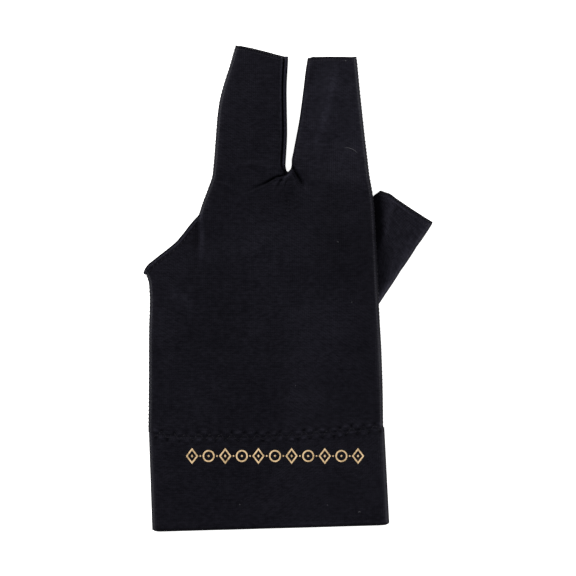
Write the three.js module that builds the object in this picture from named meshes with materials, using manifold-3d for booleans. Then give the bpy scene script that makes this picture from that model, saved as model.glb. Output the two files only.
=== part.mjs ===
// Billiard glove for a left hand: thumb, index and middle finger, open at the tips.
// It lies palm down with its thumb out to the right. Millimetres, +Y to the fingertips, +Z up.
import * as THREE from 'three';
import Module from 'manifold-3d';

// Hand
const palmWidth = 103;
const palmLength = 114.8;
const crotchOffset = 10.35;
const crotchGap = 2.3;

// Middle finger
const middleLength = 53;
const middleRootWidth = 32.5;
const middleTipWidth = 23;
const middleTipLean = 5.2;
const middleTipSlant = 5.1;

// Index finger
const indexLength = 50;
const indexRootWidth = 33.6;
const indexTipWidth = 22;
const indexTipLean = 0.7;
const indexTipSlant = -1.2;

// Opening for the ring and little finger
const openingStart = 70.8;
const openingEnd = 95;
const openingDepth = 23.7;
const cornerReach = 1.8;
const cornerRun = 5;
const hemWidth = 1.7;
const hemWall = 1.6;

// Thumb
const thumbMouthWidth = 27.3;
const thumbRootWidth = 44.6;
const thumbLength = 30.3;
const thumbLean = 52;
const thumbRootAngle = -78;
const thumbMouthAngle = -31;
const thumbRootUp = 75.4;
const thumbRootInset = 5.6;
const thumbHeelDepth = 14;
const thumbHeight = 6.8;
const thumbRows = 10;

// Cuff
const cuffLength = 41.5;
const cuffEndWidth = 103.4;
const cuffEndShift = 2.4;
const cuffEndSlant = 2.8;
const cuffWall = 2;
const cuffRows = 5;

// Cloth as it lies
const clothWall = 1.2;
const lyingHeight = 8.5;
const seamHeight = 3;
const sideRound = 10.5;
const floorRound = 5.5;
const fourchetteHeight = 1.9;
const fourchetteWidth = 2;
const fourchettePeek = 1.7;
const tipOverlap = 0.8;

// How the body rides over the thumb, as distances in from the right seam
const palmRiseStart = 27;
const palmRiseFull = 9;
const backRiseStart = 38;
const backRiseFull = 5;
const riseFade = 24;
const backFollow = 0.8;

// Clearances
const seamGap = 0.3;
const hemClearance = 0.6;
const thumbClearance = 0.5;

// Right seam: shares of the way in from the cuff's corner to the index finger's root
const rightSeamTable = [
  { up: 0, inward: 0 },
  { up: 0.19, inward: 0.06 },
  { up: 0.33, inward: 0.14 },
  { up: 0.42, inward: 0.27 },
  { up: 0.51, inward: 0.36 },
  { up: 0.74, inward: 0.56 },
  { up: 0.92, inward: 0.79 },
  { up: 1, inward: 1 },
];

// Outer seam of the middle finger: shares of the way in from root to tip
const middleSeamTable = [
  { along: 0, inward: 0 },
  { along: 0.13, inward: 0.06 },
  { along: 0.33, inward: 0.14 },
  { along: 0.46, inward: 0.2 },
  { along: 0.59, inward: 0.31 },
  { along: 0.71, inward: 0.5 },
  { along: 0.84, inward: 0.74 },
  { along: 1, inward: 1 },
];

// Opening's edge: shares of its depth and of its rise, from the corner to the middle finger
const openingTable = [
  { across: 0, up: 0 },
  { across: 0.04, up: 0.11 },
  { across: 0.21, up: 0.26 },
  { across: 0.4, up: 0.4 },
  { across: 0.58, up: 0.55 },
  { across: 0.83, up: 0.84 },
  { across: 1, up: 1 },
];

// Thumb from its root to its mouth: shares of its length, of its turn and of its taper
const thumbTable = [
  { along: 0, turn: 0, taper: 0 },
  { along: 0.21, turn: 0.11, taper: 0.27 },
  { along: 0.47, turn: 0.31, taper: 0.61 },
  { along: 0.74, turn: 0.61, taper: 0.88 },
  { along: 1, turn: 1, taper: 1 },
];

// Thumb's heel under the palm: shares of its depth, of the root's width and of its climb
const heelTable = [
  { back: 0.08, spread: 0.99, climb: 0.3 },
  { back: 0.26, spread: 0.97, climb: 1 },
  { back: 0.48, spread: 0.9, climb: 1 },
  { back: 0.7, spread: 0.76, climb: 1 },
  { back: 0.87, spread: 0.56, climb: 1 },
  { back: 1, spread: 0.3, climb: 1 },
];

// Folds in the back: ends as shares of half the palm's width and of its length, rise as a share
// of the lying height, reach as a share of the side's round
const foldTable = [
  { fromX: 0.17, fromY: 0.985, toX: -0.13, toY: 0.925, rise: -0.17, reach: 0.24 },
  { fromX: 0.23, fromY: 1.0, toX: 0.3, toY: 0.95, rise: -0.15, reach: 0.22 },
  { fromX: 0.2, fromY: 0.97, toX: 0.16, toY: 0.9, rise: 0.12, reach: 0.4 },
  { fromX: -0.51, fromY: 0.83, toX: -0.49, toY: 0.62, rise: 0.07, reach: 0.3 },
  { fromX: 0.56, fromY: 1.36, toX: 0.46, toY: 1.12, rise: 0.07, reach: 0.4 },
  { fromX: -0.1, fromY: 0.6, toX: 0.12, toY: 0.42, rise: 0.07, reach: 0.6 },
  { fromX: -0.8, fromY: 0.55, toX: -0.6, toY: 0.42, rise: 0.06, reach: 0.6 },
];

// Walls' thicknesses that the heel's roof keeps over its hollow, because it climbs steeply
const heelRoofWalls = 1.6;

// Stops down the fourchette as shares of a finger's length, and round its turn at the crotch
const fourchetteStops = [1, 0.8, 0.6, 0.4, 0.2, 0.05];
const crotchTurnSteps = 4;

// Columns beside a seam, as shares of the strip that curves down to it
const edgeColumns = [0, 0.08, 0.25, 0.55, 1];
const edgeStripShare = 0.8;
const narrowStripShare = 0.4;
const middleColumns = 3;

// Rows of the panels: spacing on the hand, and shares of a finger's length
const handRowStep = 7;
const crotchRowStep = 1.2;
const crotchRows = 2;
const fingerRows = [0.03, 0.08, 0.15, 0.25, 0.36, 0.48, 0.6, 0.71, 0.81, 0.9, 1];

const clamp01 = (value) => THREE.MathUtils.clamp(value, 0, 1);
const smooth = (value) => THREE.MathUtils.smoothstep(value, 0, 1);
const mix = THREE.MathUtils.lerp;

// Height share of rounded cloth at a share of the round's reach from its fold
function roundShare(share) {
  const left = 1 - clamp01(share);
  return Math.sqrt(1 - left * left);
}

// Reads a table's column between its rows
function readTable(rows, key, column, at) {
  const next = rows.findIndex((row) => row[key] >= at);
  if (next <= 0) return rows[Math.max(next, 0)][column];
  const low = rows[next - 1];
  const high = rows[next];
  return mix(low[column], high[column], (at - low[key]) / (high[key] - low[key]));
}

function evenParts(from, to, count) {
  return Array.from({ length: count }, (_, index) => mix(from, to, (index + 1) / count));
}

function evenSteps(from, to, step) {
  return evenParts(from, to, Math.max(1, Math.round((to - from) / step)));
}

// Roots of the fingers, worked out from the crotch
const palmHalf = palmWidth / 2;
const middleRootRight = crotchOffset - crotchGap / 2;
const middleRootLeft = middleRootRight - middleRootWidth;
const indexRootLeft = crotchOffset + crotchGap / 2;
const indexRootRight = indexRootLeft + indexRootWidth;

const cornerPoint = new THREE.Vector2(-palmHalf - cornerReach, openingStart);
const openingTop = new THREE.Vector2(cornerPoint.x + openingDepth, openingEnd);
const openingChord = openingTop.clone().sub(cornerPoint).normalize();
const openingInward = new THREE.Vector2(openingChord.y, -openingChord.x);

function rightSeamX(y) {
  return mix(palmHalf, indexRootRight, readTable(rightSeamTable, 'up', 'inward', clamp01(y / palmLength)));
}

function openingPoint(row, inset) {
  const x = mix(cornerPoint.x, openingTop.x, row.across);
  const y = mix(cornerPoint.y, openingTop.y, row.up);
  return new THREE.Vector2(x, y).addScaledVector(openingInward, inset);
}

// Left edge of the hand's panels from the cuff to the crotch, with the hem's place left free
function leftEdgePoints() {
  const inset = hemWidth + hemClearance;
  const side = [
    new THREE.Vector2(-palmHalf, 0),
    new THREE.Vector2(-palmHalf, openingStart - cornerRun),
    openingPoint(openingTable[0], inset),
  ];
  const opening = openingTable.slice(1).map((row) => openingPoint(row, inset));
  const above = [
    openingTop.clone().addScaledVector(openingChord, seamGap),
    new THREE.Vector2(middleRootLeft, palmLength),
  ];
  return { side, opening, above };
}

function readEdge(points, y) {
  const next = points.findIndex((point) => point.y >= y);
  if (next <= 0) return points[next === 0 ? 0 : points.length - 1].x;
  const low = points[next - 1];
  const high = points[next];
  return mix(low.x, high.x, (y - low.y) / (high.y - low.y));
}

// A finger's two edges and its rows, which slant towards the tip
const fingers = {
  middle: {
    rootLeft: middleRootLeft,
    rootRight: middleRootRight,
    tipWidth: middleTipWidth,
    tipLean: middleTipLean,
    length: middleLength,
    slant: middleTipSlant,
    leftShare: (along) => readTable(middleSeamTable, 'along', 'inward', along),
  },
  index: {
    rootLeft: indexRootLeft,
    rootRight: indexRootRight,
    tipWidth: indexTipWidth,
    tipLean: indexTipLean,
    length: indexLength,
    slant: indexTipSlant,
    leftShare: (along) => along,
  },
};

function fingerEnds(finger, along, tipInset, rightInset) {
  const tipCentre = (finger.rootLeft + finger.rootRight) / 2 + finger.tipLean;
  const left = mix(finger.rootLeft, tipCentre - finger.tipWidth / 2, finger.leftShare(along));
  const right = mix(finger.rootRight, tipCentre + finger.tipWidth / 2, along);
  const run = finger.length - tipInset;
  return [
    new THREE.Vector2(left, palmLength + along * (run + finger.slant / 2)),
    new THREE.Vector2(right - rightInset, palmLength + along * (run - finger.slant / 2)),
  ];
}

// Where a panel's edges lie. The back stops short of the tips and of the fourchette.
function panelOutline(tipInset, peek) {
  const edge = leftEdgePoints();
  const alongs = [0, ...fingerRows];
  const peekAt = (along) => peek * clamp01(along / fingerRows[1]);
  const middle = alongs.map((along) => fingerEnds(fingers.middle, along, tipInset, peekAt(along)));
  const index = alongs.map((along) => fingerEnds(fingers.index, along, tipInset, 0));
  const rightSide = rightSeamTable.map((row) => {
    return new THREE.Vector2(mix(palmHalf, indexRootRight, row.inward), row.up * palmLength);
  });
  const outerSeams = [
    edge.side,
    [...edge.above, ...middle.slice(1).map((ends) => ends[0])],
    [...rightSide, ...index.slice(1).map((ends) => ends[1])],
  ];
  const innerSeam = [...middle.map((ends) => ends[1]).reverse(), ...index.map((ends) => ends[0])];
  return { leftEdge: [...edge.side, ...edge.opening, ...edge.above], edge, middle, index, outerSeams, innerSeam };
}

function nearestOnLine(points, x, y) {
  const best = { distance: Infinity, x: 0, y: 0 };
  for (let i = 1; i < points.length; i += 1) {
    const start = points[i - 1];
    const run = points[i].clone().sub(start);
    const share = clamp01(((x - start.x) * run.x + (y - start.y) * run.y) / Math.max(run.lengthSq(), 1e-9));
    const nearX = start.x + run.x * share;
    const nearY = start.y + run.y * share;
    const distance = Math.hypot(x - nearX, y - nearY);
    if (distance < best.distance) Object.assign(best, { distance, x: nearX, y: nearY });
  }
  return best;
}

function nearestSeam(outline, x, y) {
  const outer = outline.outerSeams.map((points) => nearestOnLine(points, x, y));
  const outerBest = outer.reduce((best, one) => (one.distance < best.distance ? one : best));
  const inner = nearestOnLine(outline.innerSeam, x, y);
  const nearest = inner.distance < outerBest.distance ? inner : outerBest;
  const innerShare = smooth(0.5 + (outerBest.distance - inner.distance) / (2 * sideRound));
  return { ...nearest, innerShare };
}

// Thumb's place, from the palm's right seam
const thumbRoot = new THREE.Vector2(rightSeamX(thumbRootUp) - thumbRootInset, thumbRootUp);
const thumbWay = new THREE.Vector2(1, 0).rotateAround(new THREE.Vector2(), THREE.MathUtils.degToRad(thumbLean));

function thumbAcross(turn) {
  const angle = THREE.MathUtils.degToRad(mix(thumbRootAngle, thumbMouthAngle, turn));
  return new THREE.Vector2(Math.cos(angle), Math.sin(angle));
}

const thumbMouth = thumbRoot.clone().addScaledVector(thumbWay, thumbLength);
const thumbWebCorner = thumbMouth.clone().addScaledVector(thumbAcross(1), -thumbMouthWidth / 2);
const thumbRise = thumbHeight + thumbClearance;
const riseBottom = thumbRootUp - thumbRootWidth / 2;
const riseTop = thumbWebCorner.y;

// How far the cloth is lifted by the thumb under it
function riseShare(x, y, start, full) {
  const inset = rightSeamX(y) - x;
  const across = smooth((start - inset) / (start - full));
  const low = smooth((y - riseBottom + riseFade) / riseFade);
  const high = 1 - smooth((y - riseTop) / riseFade);
  return across * low * high;
}

function foldHeight(x, y) {
  const point = new THREE.Vector2(x, y);
  let height = 0;
  for (const fold of foldTable) {
    const ends = [
      new THREE.Vector2(fold.fromX * palmHalf, fold.fromY * palmLength),
      new THREE.Vector2(fold.toX * palmHalf, fold.toY * palmLength),
    ];
    const distance = nearestOnLine(ends, point.x, point.y).distance / (fold.reach * sideRound);
    height += fold.rise * lyingHeight * Math.exp(-distance * distance);
  }
  return height;
}

function backHeight(outline, x, y) {
  const near = nearestSeam(outline, x, y);
  const strip = (fourchetteHeight + seamGap) * near.innerShare;
  const rim = seamHeight + strip + thumbRise * riseShare(x, y, palmRiseStart, palmRiseFull);
  const top = lyingHeight + backFollow * thumbRise * riseShare(x, y, backRiseStart, backRiseFull);
  return rim + (top + foldHeight(x, y) - rim) * roundShare(near.distance / sideRound);
}

function palmHeight(outline, x, y) {
  const near = nearestSeam(outline, x, y);
  const rim = seamHeight - seamGap;
  const lift = thumbRise * riseShare(x, y, palmRiseStart, palmRiseFull);
  return lift + rim * (1 - roundShare(near.distance / floorRound));
}

// Stops across a width: close together beside the folds at both ends
function widthStops(width) {
  const strip = Math.min(sideRound * edgeStripShare, width * narrowStripShare);
  const low = edgeColumns.map((share) => share * strip);
  const middle = Array.from({ length: middleColumns }, (_, index) => {
    return mix(strip, width - strip, (index + 1) / (middleColumns + 1));
  });
  const high = low.map((stop) => width - stop).reverse();
  return [...low, ...middle, ...high];
}

function rowAcross(from, to) {
  const width = from.distanceTo(to);
  return widthStops(width).map((stop) => from.clone().lerp(to, stop / width));
}

// Plan of a panel: rows from the cuff to the fingertips, each with a left and a right block
function panelPlan(outline) {
  const { side, opening, above } = outline.edge;
  const openingLast = opening[opening.length - 1];
  const crotchStart = palmLength - crotchRows * crotchRowStep;
  const heights = [
    seamGap / 2,
    ...evenSteps(seamGap / 2, side[side.length - 1].y, handRowStep),
    ...opening.map((point) => point.y),
    above[0].y,
    ...evenSteps(above[0].y, crotchStart, handRowStep),
    ...evenParts(crotchStart, palmLength, crotchRows),
  ].filter((y, index, all) => index === 0 || y > all[index - 1]);
  const hand = heights.map((y) => {
    const left = new THREE.Vector2(y === openingLast.y ? openingLast.x : readEdge(outline.leftEdge, y), y);
    const right = new THREE.Vector2(rightSeamX(y), y);
    const rowsLeft = rowAcross(left, new THREE.Vector2(middleRootRight, y));
    const rowsRight = rowAcross(new THREE.Vector2(indexRootLeft, y), right);
    return [...rowsLeft, ...rowsRight];
  });
  const fingerPlan = fingerRows.map((_, index) => {
    return [...rowAcross(...outline.middle[index + 1]), ...rowAcross(...outline.index[index + 1])];
  });
  return { rows: [...hand, ...fingerPlan], crotchRow: hand.length - 1 };
}

// Points on one face of a panel and on its other face, a wall's thickness away
function panelFaces(outline, plan, heightAt, wall, side) {
  const nudge = 0.05;
  const step = 0.02;
  const outer = [];
  const inner = [];
  const blockSize = plan.rows[0].length / 2;
  plan.rows.forEach((row, rowIndex) => {
    const above = rowIndex > plan.crotchRow;
    row.forEach((point, column) => {
      const height = heightAt(outline, point.x, point.y);
      const near = nearestSeam(outline, point.x, point.y);
      outer.push(new THREE.Vector3(point.x, point.y, height));
      if (near.distance > step * 2) {
        const slopeX = heightAt(outline, point.x + step, point.y) - heightAt(outline, point.x - step, point.y);
        const slopeY = heightAt(outline, point.x, point.y + step) - heightAt(outline, point.x, point.y - step);
        const normal = new THREE.Vector3(-slopeX / (2 * step), -slopeY / (2 * step), 1).normalize();
        inner.push(outer[outer.length - 1].clone().addScaledVector(normal, -side * wall));
        return;
      }
      const leftSide = column === 0 || (column === blockSize && (above || rowIndex === plan.crotchRow));
      const hint = new THREE.Vector2(leftSide ? 1 : -1, 0);
      if (rowIndex === plan.crotchRow && column > 0 && column < row.length - 1) hint.y = -1;
      const inside = point.clone().addScaledVector(hint.normalize(), nudge);
      const foot = nearestSeam(outline, inside.x, inside.y);
      const inward = new THREE.Vector2(inside.x - foot.x, inside.y - foot.y).normalize();
      inner.push(new THREE.Vector3(point.x + inward.x * wall, point.y + inward.y * wall, height));
    });
  });
  return { outer, inner };
}

// Closed body between two grids of points, with the gap between the fingers left out
function gridBody(upper, lower, columns, rowCount, crotchRow) {
  const points = [...upper, ...lower];
  const triangles = [];
  const sheet = upper.length;
  const gapColumn = columns / 2 - 1;
  const filled = (row, column) => {
    if (row < 0 || column < 0 || row >= rowCount - 1 || column >= columns - 1) return false;
    return row < crotchRow || column !== gapColumn;
  };
  const at = (row, column) => row * columns + column;
  const wallBetween = (from, to) => {
    triangles.push([from, from + sheet, to + sheet], [from, to + sheet, to]);
  };
  for (let row = 0; row < rowCount - 1; row += 1) {
    for (let column = 0; column < columns - 1; column += 1) {
      if (!filled(row, column)) continue;
      const [a, b] = [at(row, column), at(row, column + 1)];
      const [c, d] = [at(row + 1, column + 1), at(row + 1, column)];
      triangles.push([a, b, c], [a, c, d]);
      triangles.push([c + sheet, b + sheet, a + sheet], [d + sheet, c + sheet, a + sheet]);
      if (!filled(row - 1, column)) wallBetween(a, b);
      if (!filled(row, column + 1)) wallBetween(b, c);
      if (!filled(row + 1, column)) wallBetween(c, d);
      if (!filled(row, column - 1)) wallBetween(d, a);
    }
  }
  return { points, triangles };
}

// One ring round a flat tube: over the top from one fold to the other, then back underneath
function flatRing(pointAt, span, heights, inset, underShift = new THREE.Vector2()) {
  const stops = widthStops(span - 2 * inset).map((stop) => stop + inset);
  const first = stops[0];
  const last = stops[stops.length - 1];
  const top = heights.top - inset * (heights.roofWalls ?? 1);
  const floor = heights.floor + inset;
  const fold = Math.min(Math.max(heights.fold, floor), top);
  const foldDistance = (stop) => Math.min(stop - first, last - stop);
  const over = stops.map((stop) => {
    const height = mix(fold, top, roundShare(foldDistance(stop) / sideRound));
    const plan = pointAt(stop / span);
    return new THREE.Vector3(plan.x, plan.y, height);
  });
  const under = stops.slice(1, -1).reverse().map((stop) => {
    const share = roundShare(foldDistance(stop) / floorRound);
    const plan = pointAt(stop / span).addScaledVector(underShift, share);
    return new THREE.Vector3(plan.x, plan.y, mix(fold, floor, share));
  });
  return [...over, ...under];
}

// Skin over rings, closed on itself lengthwise where loop is set, and otherwise capped at both ends
function ringBody(rings, loop) {
  const size = rings[0].length;
  const points = rings.flat();
  const triangles = [];
  const joined = loop ? rings.length : rings.length - 1;
  for (let ring = 0; ring < joined; ring += 1) {
    for (let i = 0; i < size; i += 1) {
      const next = (i + 1) % size;
      const low = ring * size;
      const high = ((ring + 1) % rings.length) * size;
      triangles.push([low + i, low + next, high + next], [low + i, high + next, high + i]);
    }
  }
  if (!loop) {
    const lastRing = (rings.length - 1) * size;
    // Points over and under the same stop face each other, so the cap is a row of quads
    const half = size / 2;
    for (let i = 0; i < half; i += 1) {
      const across = (index) => (size - index) % size;
      const [a, b] = [i, i + 1];
      const [c, d] = [across(b), across(a)];
      const quad = [[a, c, b], [a, d, c]];
      for (const [p, q, r] of quad) {
        if (p === q || q === r || r === p) continue;
        triangles.push([p, q, r], [lastRing + p, lastRing + r, lastRing + q]);
      }
    }
  }
  return { points, triangles };
}

const wasm = await Module();
wasm.setup();

function toManifold(body) {
  const vertProperties = new Float32Array(body.points.flatMap((point) => point.toArray()));
  const triVerts = new Uint32Array(body.triangles.flat());
  return new wasm.Manifold(new wasm.Mesh({ numProp: 3, vertProperties, triVerts }));
}

function toGeometry(manifold) {
  const cut = manifold.getMesh();
  const geometry = new THREE.BufferGeometry();
  geometry.setAttribute('position', new THREE.BufferAttribute(new Float32Array(cut.vertProperties), 3));
  geometry.setIndex(new THREE.BufferAttribute(new Uint32Array(cut.triVerts), 1));
  geometry.computeVertexNormals();
  return geometry;
}

// Turns a body the right way out if its rings ran the other way
function solidOf(body) {
  const { points, triangles } = body;
  const volume = triangles.reduce((sum, [a, b, c]) => {
    return sum + points[a].dot(points[b].clone().cross(points[c]));
  }, 0);
  const outward = volume > 0 ? triangles : triangles.map(([a, b, c]) => [a, c, b]);
  return toManifold({ points, triangles: outward });
}

const cloth = (color) => new THREE.MeshStandardMaterial({ color, roughness: 0.8, metalness: 0 });

function namedMesh(name, solid, color) {
  const mesh = new THREE.Mesh(toGeometry(solid), cloth(color));
  mesh.name = name;
  return mesh;
}

function backPanel() {
  const outline = panelOutline(tipOverlap, fourchettePeek);
  const plan = panelPlan(outline);
  const faces = panelFaces(outline, plan, backHeight, clothWall, 1);
  return solidOf(gridBody(faces.outer, faces.inner, plan.rows[0].length, plan.rows.length, plan.crotchRow));
}

function palmFaces() {
  const outline = panelOutline(0, 0);
  const plan = panelPlan(outline);
  return { plan, ...panelFaces(outline, plan, palmHeight, clothWall, -1) };
}

function gridSolid(plan, upper, lower) {
  return solidOf(gridBody(upper, lower, plan.rows[0].length, plan.rows.length, plan.crotchRow));
}

// Thumb's rings, from the heel under the palm to the mouth
function thumbRings(inset, grow) {
  const climbTop = thumbRise + clothWall + thumbHeight / 2;
  const fold = seamHeight;
  const rootAcross = thumbAcross(0);
  const backwards = new THREE.Vector2(rootAcross.y, -rootAcross.x);
  const ringAt = (centre, across, width, top, roofWalls, underShift) => {
    const span = width + 2 * grow;
    const start = centre.clone().addScaledVector(across, -span / 2);
    const pointAt = (share) => start.clone().addScaledVector(across, share * span);
    return flatRing(pointAt, span, { top: top + grow, floor: -grow, fold, roofWalls }, inset, underShift);
  };
  const heel = heelTable.map((row) => {
    const depth = (thumbHeelDepth + grow - inset) * row.back;
    const centre = thumbRoot.clone().addScaledVector(backwards, depth);
    const top = mix(thumbHeight, climbTop, row.climb);
    return ringAt(centre, rootAcross, thumbRootWidth * row.spread, top, heelRoofWalls);
  });
  const tube = [0, ...evenParts(0, 1, thumbRows)].map((along) => {
    const turn = readTable(thumbTable, 'along', 'turn', along);
    const width = mix(thumbRootWidth, thumbMouthWidth, readTable(thumbTable, 'along', 'taper', along));
    const centre = thumbRoot.clone().addScaledVector(thumbWay, along * thumbLength);
    return ringAt(centre, thumbAcross(turn), width, thumbHeight, 1);
  });
  return [...heel.reverse(), ...tube];
}

function extendMouth(rings, reach) {
  const across = thumbAcross(1);
  const outward = new THREE.Vector3(-across.y, across.x, 0);
  const last = rings[rings.length - 1];
  return [...rings, last.map((point) => point.clone().addScaledVector(outward, reach))];
}

function thumbAndPalm() {
  const palm = palmFaces();
  const panel = gridSolid(palm.plan, palm.inner, palm.outer);
  const sky = palm.inner.map((point) => new THREE.Vector3(point.x, point.y, 4 * lyingHeight));
  const handHollow = gridSolid(palm.plan, sky, palm.inner);
  const outer = solidOf(ringBody(thumbRings(0, 0), false));
  const cavity = solidOf(ringBody(extendMouth(thumbRings(clothWall, 0), clothWall), false));
  const clearance = solidOf(ringBody(thumbRings(0, seamGap), false));
  return {
    palm: panel.subtract(clearance),
    thumb: outer.subtract(cavity).subtract(handHollow),
  };
}

// Tube with a wall: outer rings down its length, then inner rings back
function walledTube(outerRings, innerRings) {
  return solidOf(ringBody([...outerRings, ...innerRings.reverse()], true));
}

function cuffBand() {
  const rows = [0, ...evenParts(0, 1, cuffRows)];
  const heights = { top: lyingHeight, floor: 0, fold: seamHeight };
  const rings = (inset) => rows.map((down) => {
    const shift = cuffEndShift * down;
    const half = mix(palmWidth, cuffEndWidth, down) / 2;
    const left = new THREE.Vector2(shift - half, -seamGap / 2 - down * (cuffLength + cuffEndSlant / 2));
    const right = new THREE.Vector2(shift + half, -seamGap / 2 - down * (cuffLength - cuffEndSlant / 2));
    return flatRing((share) => left.clone().lerp(right, share), 2 * half, heights, inset);
  });
  return walledTube(rings(0), rings(cuffWall));
}

function openingHem() {
  const heights = { top: lyingHeight, floor: 0, fold: seamHeight };
  const span = cornerPoint.distanceTo(openingTop);
  const rings = (inset) => [0, hemWidth].map((depth) => {
    const pointAt = (share) => {
      const along = openingTable.map((row) => ({ ...row, place: (row.across + row.up) / 2 }));
      const across = readTable(along, 'place', 'across', share);
      const up = readTable(along, 'place', 'up', share);
      return openingPoint({ across, up }, depth);
    };
    return flatRing(pointAt, span, heights, inset);
  });
  return walledTube(rings(0), rings(hemWall));
}

// Strip between the fingers, down one, round the crotch and up the other
function fingerFourchette() {
  const down = fourchetteStops.map((along) => fingerEnds(fingers.middle, along, 0, 0)[1]);
  const up = fourchetteStops.map((along) => fingerEnds(fingers.index, along, 0, 0)[0]).reverse();
  const turn = [0, ...evenParts(0, 1, crotchTurnSteps)].map((share) => {
    const angle = Math.PI * (1 + share);
    const radius = crotchGap / 2;
    return new THREE.Vector2(crotchOffset + radius * Math.cos(angle), palmLength + radius * Math.sin(angle));
  });
  const route = [...down, ...turn, ...up];
  const low = seamHeight;
  const high = seamHeight + fourchetteHeight;
  const rings = route.map((point, index) => {
    const before = route[Math.max(index - 1, 0)];
    const after = route[Math.min(index + 1, route.length - 1)];
    const way = after.clone().sub(before).normalize();
    const inward = new THREE.Vector2(way.y, -way.x).multiplyScalar(fourchetteWidth);
    const far = point.clone().add(inward);
    return [
      new THREE.Vector3(point.x, point.y, low),
      new THREE.Vector3(point.x, point.y, high),
      new THREE.Vector3(far.x, far.y, high),
      new THREE.Vector3(far.x, far.y, low),
    ];
  });
  return solidOf(ringBody(rings, false));
}

const { palm, thumb } = thumbAndPalm();
const group = new THREE.Group();
group.add(
  namedMesh('back_panel', backPanel(), 0x16151b),
  namedMesh('palm_panel', palm, 0x16151b),
  namedMesh('finger_fourchette', fingerFourchette(), 0x121116),
  namedMesh('thumb_tube', thumb, 0x1d1c22),
  namedMesh('cuff_band', cuffBand(), 0x15141a),
  namedMesh('opening_hem', openingHem(), 0x222129),
);

// The origin is under the middle of the glove, on the surface that it lies on
const box = new THREE.Box3().setFromObject(group);
const centre = box.getCenter(new THREE.Vector3());
group.position.set(-centre.x, -centre.y, -box.min.z);

export default group;
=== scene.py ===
# Billiard glove lying on its palm: cloth, seams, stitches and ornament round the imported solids
import math

import bpy
import numpy as np
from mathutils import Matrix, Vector


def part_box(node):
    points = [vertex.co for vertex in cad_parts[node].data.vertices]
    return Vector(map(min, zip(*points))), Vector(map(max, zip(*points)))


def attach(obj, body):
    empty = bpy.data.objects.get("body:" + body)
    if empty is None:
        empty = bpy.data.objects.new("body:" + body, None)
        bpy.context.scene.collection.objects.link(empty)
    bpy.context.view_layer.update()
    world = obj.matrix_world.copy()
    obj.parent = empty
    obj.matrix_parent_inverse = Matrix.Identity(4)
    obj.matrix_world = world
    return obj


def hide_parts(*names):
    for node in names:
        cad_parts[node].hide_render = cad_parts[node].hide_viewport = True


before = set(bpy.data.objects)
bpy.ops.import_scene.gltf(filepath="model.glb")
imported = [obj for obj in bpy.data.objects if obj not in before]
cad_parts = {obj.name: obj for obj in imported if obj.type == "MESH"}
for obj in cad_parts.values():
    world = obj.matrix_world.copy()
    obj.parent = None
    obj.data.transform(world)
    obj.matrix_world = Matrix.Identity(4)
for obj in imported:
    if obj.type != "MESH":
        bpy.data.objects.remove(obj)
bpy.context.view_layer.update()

mm = 0.001

# Millimetres on the glove: x from its middle line, y up from the cuff's seam, z up from the floor
glove = {
    "halfWidth": 51.5,
    "crotchUp": 114.8,
    "wall": 1.05,
    "lying": 8.5,  # height of the back's cloth
    "seam": 3.0,  # height of the side seams
    "seamGap": 0.3,
    "clothGap": 0.08,  # what shows open between back and cuff
    "sideRound": 3.6,
    "floorRound": 3.0,
    "fourchetteHeight": 1.9,
    "tipOverlap": 0.8,
    "peek": 1.7,  # how much of the strip between the fingers shows beside the middle finger
}

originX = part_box("palm_panel")[1][0] / mm - glove["halfWidth"]
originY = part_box("cuff_band")[1][1] / mm + glove["seamGap"] / 2


def placed(points):
    return (np.asarray(points, dtype=float) + np.array([originX, originY, 0.0])) * mm


# Small tools

def smooth(value):
    value = np.clip(value, 0.0, 1.0)
    return value * value * (3 - 2 * value)


def bell(distance, reach):
    return np.exp(-((distance / reach) ** 2))


def roundShare(share):
    return np.sqrt(np.maximum(1 - (1 - np.clip(share, 0.0, 1.0)) ** 2, 0.0))


def lengthsAlong(line):  # length of a line up to each of its points
    return np.concatenate([[0], np.cumsum(np.linalg.norm(np.diff(line, axis=0), axis=1))])


def waysAlong(line):  # direction of a line at each of its points
    way = np.gradient(line, axis=0)
    return way / np.linalg.norm(way, axis=1, keepdims=True)


def smoothLine(points, step):  # a curve through a few points
    points = np.asarray(points, dtype=float)
    lengths = lengthsAlong(points)
    slopes = np.gradient(points, lengths, axis=0)
    stops = np.linspace(0, lengths[-1], max(2, int(lengths[-1] / step) + 1))
    k = np.clip(np.searchsorted(lengths, stops, side="right") - 1, 0, len(points) - 2)
    run = (lengths[k + 1] - lengths[k])[:, None]
    t = ((stops - lengths[k])[:, None]) / run
    a, b, ma, mb = points[k], points[k + 1], slopes[k] * run, slopes[k + 1] * run
    return (a * (2 * t**3 - 3 * t**2 + 1) + ma * (t**3 - 2 * t**2 + t)
            + b * (3 * t**2 - 2 * t**3) + mb * (t**3 - t**2))


def alongLine(line, shares):  # points at shares of a line's length
    lengths = lengthsAlong(line)
    stops = np.asarray(shares) * lengths[-1]
    return np.stack([np.interp(stops, lengths, line[:, i]) for i in range(line.shape[1])], axis=-1)


def nearest(line, x, y):  # distance to a line, share along it, and distance to its left
    best = np.full(x.shape, 1e9)
    share = np.zeros(x.shape)
    left = np.zeros(x.shape)
    lengths = lengthsAlong(line)
    for i in range(len(line) - 1):
        start, run = line[i], line[i + 1] - line[i]
        length = max(float(np.hypot(*run)), 1e-9)
        t = np.clip(((x - start[0]) * run[0] + (y - start[1]) * run[1]) / length**2, 0, 1)
        distance = np.hypot(x - start[0] - run[0] * t, y - start[1] - run[1] * t)
        side = (run[0] * (y - start[1]) - run[1] * (x - start[0])) / length
        closer = distance < best
        best = np.where(closer, distance, best)
        share = np.where(closer, (lengths[i] + t * length) / lengths[-1], share)
        left = np.where(closer, np.where(side < 0, -distance, distance), left)
    return best, share, left


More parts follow.
